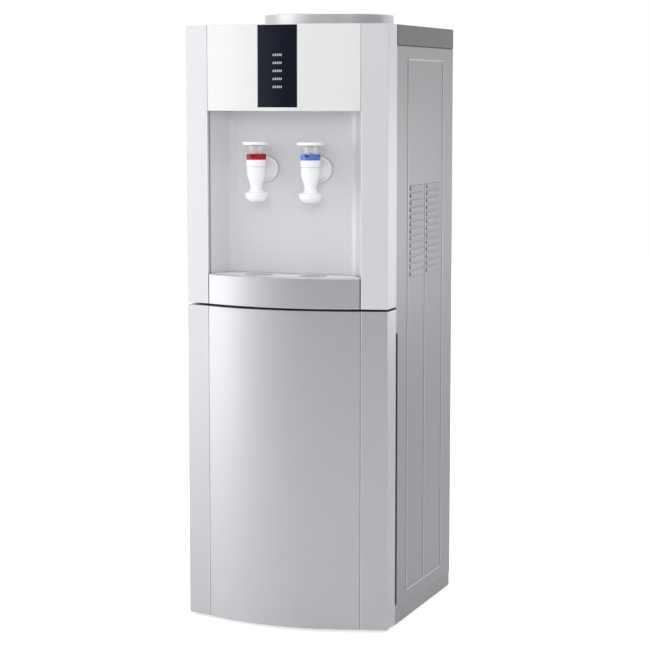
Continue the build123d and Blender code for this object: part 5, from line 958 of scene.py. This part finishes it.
for side in ("hot", "cold"):
    ring_low, ring_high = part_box(f"{side}_ring")
    tap_x = (ring_low[0] + ring_high[0]) / 2
    tap_y = (ring_low[1] + ring_high[1]) / 2
    fit(flange_beads(f"{side}_flange_beads", tap_x), "cooler", tap_white)
    fit(funnel_ribs(f"{side}_funnel_ribs", tap_x, tap_y), f"{side}_button", tap_white)
    fit(button_disc(side, tap_x, tap_y), f"{side}_button", tap_white)
    coil = button_coil(side)
    fit(coil, "cooler", spring_steel)
    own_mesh(coil)

# ---- Bottle cabinet ----
# A white moulded liner stands in the casing behind the door and takes the bottle. The suction probe with
# its screw cap hangs on a soft hose, and both are held to the wall by clips.
HOSE_WHITE = (0.74, 0.76, 0.75)

hose_white = finish("hose white", grain, HOSE_WHITE, 0.93, 300.0, 0.3, 0.08)
dress(liner_white, "cabinet_liner", "suction_probe", "hose_clips")
dress(hose_white, "suction_hose")

# ---- Deck and tank stand ----
# Folded galvanised sheet. The deck closes the cabinet's top and carries the stand, the pump and the power
# supply.
DECK_ZINC = (0.50, 0.50, 0.51)

galvanised = finish("galvanised sheet", spangle, DECK_ZINC, 0.78, 110.0, 0.40, 0.15, metallic=0.9)
dress(galvanised, "mid_deck", "tank_stand")

# ---- Cold tank and its jacket ----
# A drawn stainless tank in two halves of cream foam, with a neck that comes up through the top cover. It
# stands on the deck's stand and is chilled from behind.
FOAM_CREAM = (0.78, 0.74, 0.60)
STAINLESS = (0.58, 0.58, 0.57)

# closed cells of a moulded foam
cells, cells_in, cells_out = surface("foam cells", 420.0)
cells_cut = cells.nodes.new("ShaderNodeTexVoronoi")
cells.links.new(cells_in["Vector"], cells_cut.inputs["Vector"])
cells.links.new(cells_in["Scale"], cells_cut.inputs["Scale"])
cells_mix = spread(cells, cells_cut.outputs["Distance"], 0.1, 0.8, 1.0, 0.0)
cells_rough = spread(cells, cells_cut.outputs["Distance"], 0.1, 0.8, 0.0, 0.08)
close_surface(cells, cells_in, cells_out, cells_mix, cells_rough, cells_cut.outputs["Distance"])

foam_cream = finish("jacket foam", cells, FOAM_CREAM, 0.85, 420.0, 0.82, 0.6, light=0.1)
stainless = finish("drawn stainless", drawn, STAINLESS, 0.86, 1100.0, 0.26, 0.12, metallic=1.0)
dress(foam_cream, "tank_jacket")
dress(stainless, "cold_tank")

# ---- Cooling block, heat sink and fan ----
# The thermoelectric cooler's aluminium block and finned sink, with a black fan behind them that blows out
# through a guard of flat rings, held by four screws.
GUARD_SCREW_PITCH = 0.0825
ALUMINIUM = (0.70, 0.70, 0.71)

milled_aluminium = finish("milled aluminium", drawn, ALUMINIUM, 0.86, 1500.0, 0.34, 0.15, metallic=1.0)
dress(milled_aluminium, "cooling_block", "heat_sink")
dress(black_moulding, "fan_frame", "fan_rotor", "fan_guard")
guard_low, guard_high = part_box("fan_guard")
guard_z = (guard_low[2] + guard_high[2]) / 2
guard_screw_number = 0
for x in (-GUARD_SCREW_PITCH / 2, GUARD_SCREW_PITCH / 2):
    for z in (guard_z - GUARD_SCREW_PITCH / 2, guard_z + GUARD_SCREW_PITCH / 2):
        guard_screw_number += 1
        shift = (x + SCREW_X, guard_high[1] - back_high[1], z - SCREW_ZS[0])
        screw = copied(first_screw, f"guard_screw_{guard_screw_number}", shift)
        fit(screw, "cooler", screw_zinc)

# ---- Hot tank ----
# A drawn stainless tank on three legs with a heater band clamped round it, and two thermostats on its
# front with black moulded bodies.
BAND_STEEL = (0.46, 0.45, 0.43)

band_steel = finish("heater band", drawn, BAND_STEEL, 0.8, 700.0, 0.38, 0.2, metallic=0.9)
dress(stainless, "hot_tank")
dress(band_steel, "heater_band")
dress(black_moulding, "thermostats")

# ---- Pump, power supply and water hoses ----
# A small diaphragm pump with a black head and motor, a vented zinc-plated supply, and soft white hoses
# pushed on to plain spigots.
dress(black_moulding, "water_pump")
dress(zinc_plate, "power_supply")
dress(hose_white, "water_hoses")

# ---- Power inlet ----
# A black moulded appliance inlet with three flat plated pins. Two small screws hold it to the back panel.
PIN_PLACES = ((-0.007, -0.002), (0, 0.002), (0.007, -0.002))
PIN_HALF = (0.00106, 0.00206)
PIN_ROOT_Y = 0.1797
PIN_TIP_Y = 0.1887
PIN_BEVEL = 0.00035
PIN_PLATING = (0.72, 0.71, 0.68)
INLET_SCREW_X = 0.020

pin_metal = finish("pin plating", drawn, PIN_PLATING, 0.9, 900.0, 0.22, 0.05, metallic=1.0)
dress(black_moulding, "power_inlet")
inlet_low, inlet_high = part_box("power_inlet")
inlet_x = (inlet_low[0] + inlet_high[0]) / 2
inlet_z = (inlet_low[2] + inlet_high[2]) / 2
for number, (dx, dz) in enumerate(PIN_PLACES, start=1):
    low = (inlet_x + dx - PIN_HALF[0], PIN_ROOT_Y, inlet_z + dz - PIN_HALF[1])
    high = (inlet_x + dx + PIN_HALF[0], PIN_TIP_Y, inlet_z + dz + PIN_HALF[1])
    fit(block(f"inlet_pin_{number}", low, high, PIN_BEVEL), "cooler", pin_metal)
for number, dx in enumerate((-INLET_SCREW_X, INLET_SCREW_X), start=1):
    shift = (inlet_x + dx + SCREW_X, inlet_high[1] - back_high[1], inlet_z - SCREW_ZS[0])
    fit(copied(first_screw, f"inlet_screw_{number}", shift), "cooler", screw_zinc)

# ---- Rocker switches ----
# A black housing with a red rocker for the heater and a blue one for the cooler. O and I are printed on
# them in white.
MARK_HIGH = 0.0050  # printed ring over the rocker's axle
MARK_LOW = -0.0039
RING_IN = 0.0013
RING_OUT = 0.0019
BAR_HALF = (0.0003, 0.0018)
MARK_WHITE = (0.85, 0.85, 0.85, 1)
FACE_DEPTH = 0.0025  # of the rockers' faces behind the furthest edge
FACE_SLACK = 0.001


def rocker_marks(node):
    """Printed ring and bar for the faces of this rocker."""
    low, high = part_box(node)
    middle_x = (low[0] + high[0]) / 2
    housing_low, housing_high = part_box("switch_housing")
    axle_z = (housing_low[2] + housing_high[2]) / 2

    def marks(tree, place, colour):
        at = axes(tree, place)
        across = maths(tree, "SUBTRACT", at["X"], middle_x)
        over_ring = maths(tree, "SUBTRACT", at["Z"], axle_z + MARK_HIGH)
        over_bar = maths(tree, "SUBTRACT", at["Z"], axle_z + MARK_LOW)
        across_squared = maths(tree, "MULTIPLY", across, across)
        square = maths(tree, "ADD", across_squared, maths(tree, "MULTIPLY", over_ring, over_ring))
        ring = between(tree, square, RING_IN**2, RING_OUT**2)
        bar_width = between(tree, across, -BAR_HALF[0], BAR_HALF[0])
        bar = maths(tree, "MULTIPLY", bar_width, between(tree, over_bar, -BAR_HALF[1], BAR_HALF[1]))
        front = maths(tree, "GREATER_THAN", at["Y"], high[1] - FACE_DEPTH - FACE_SLACK)
        shown = maths(tree, "MULTIPLY", maths(tree, "MAXIMUM", ring, bar), front)
        return tinted(tree, shown, colour, MARK_WHITE)

    return marks


for node, colour in (("hot_rocker", HOT_RED), ("cold_rocker", COLD_BLUE)):
    rocker_gloss = finish(
        node.replace("_", " "), grain, colour, 0.85, 500.0, 0.25, 0.05,
        coat=0.3, light=0.12, marks=rocker_marks(node),
    )
    dress(rocker_gloss, node)
dress(black_moulding, "switch_housing")

# ---- Drain ----
# A threaded spigot moulded in white plastic stands through the back panel, for emptying the hot tank. A
# ribbed cap is screwed on to it.
dress(liner_white, "drain_spigot", "drain_cap")
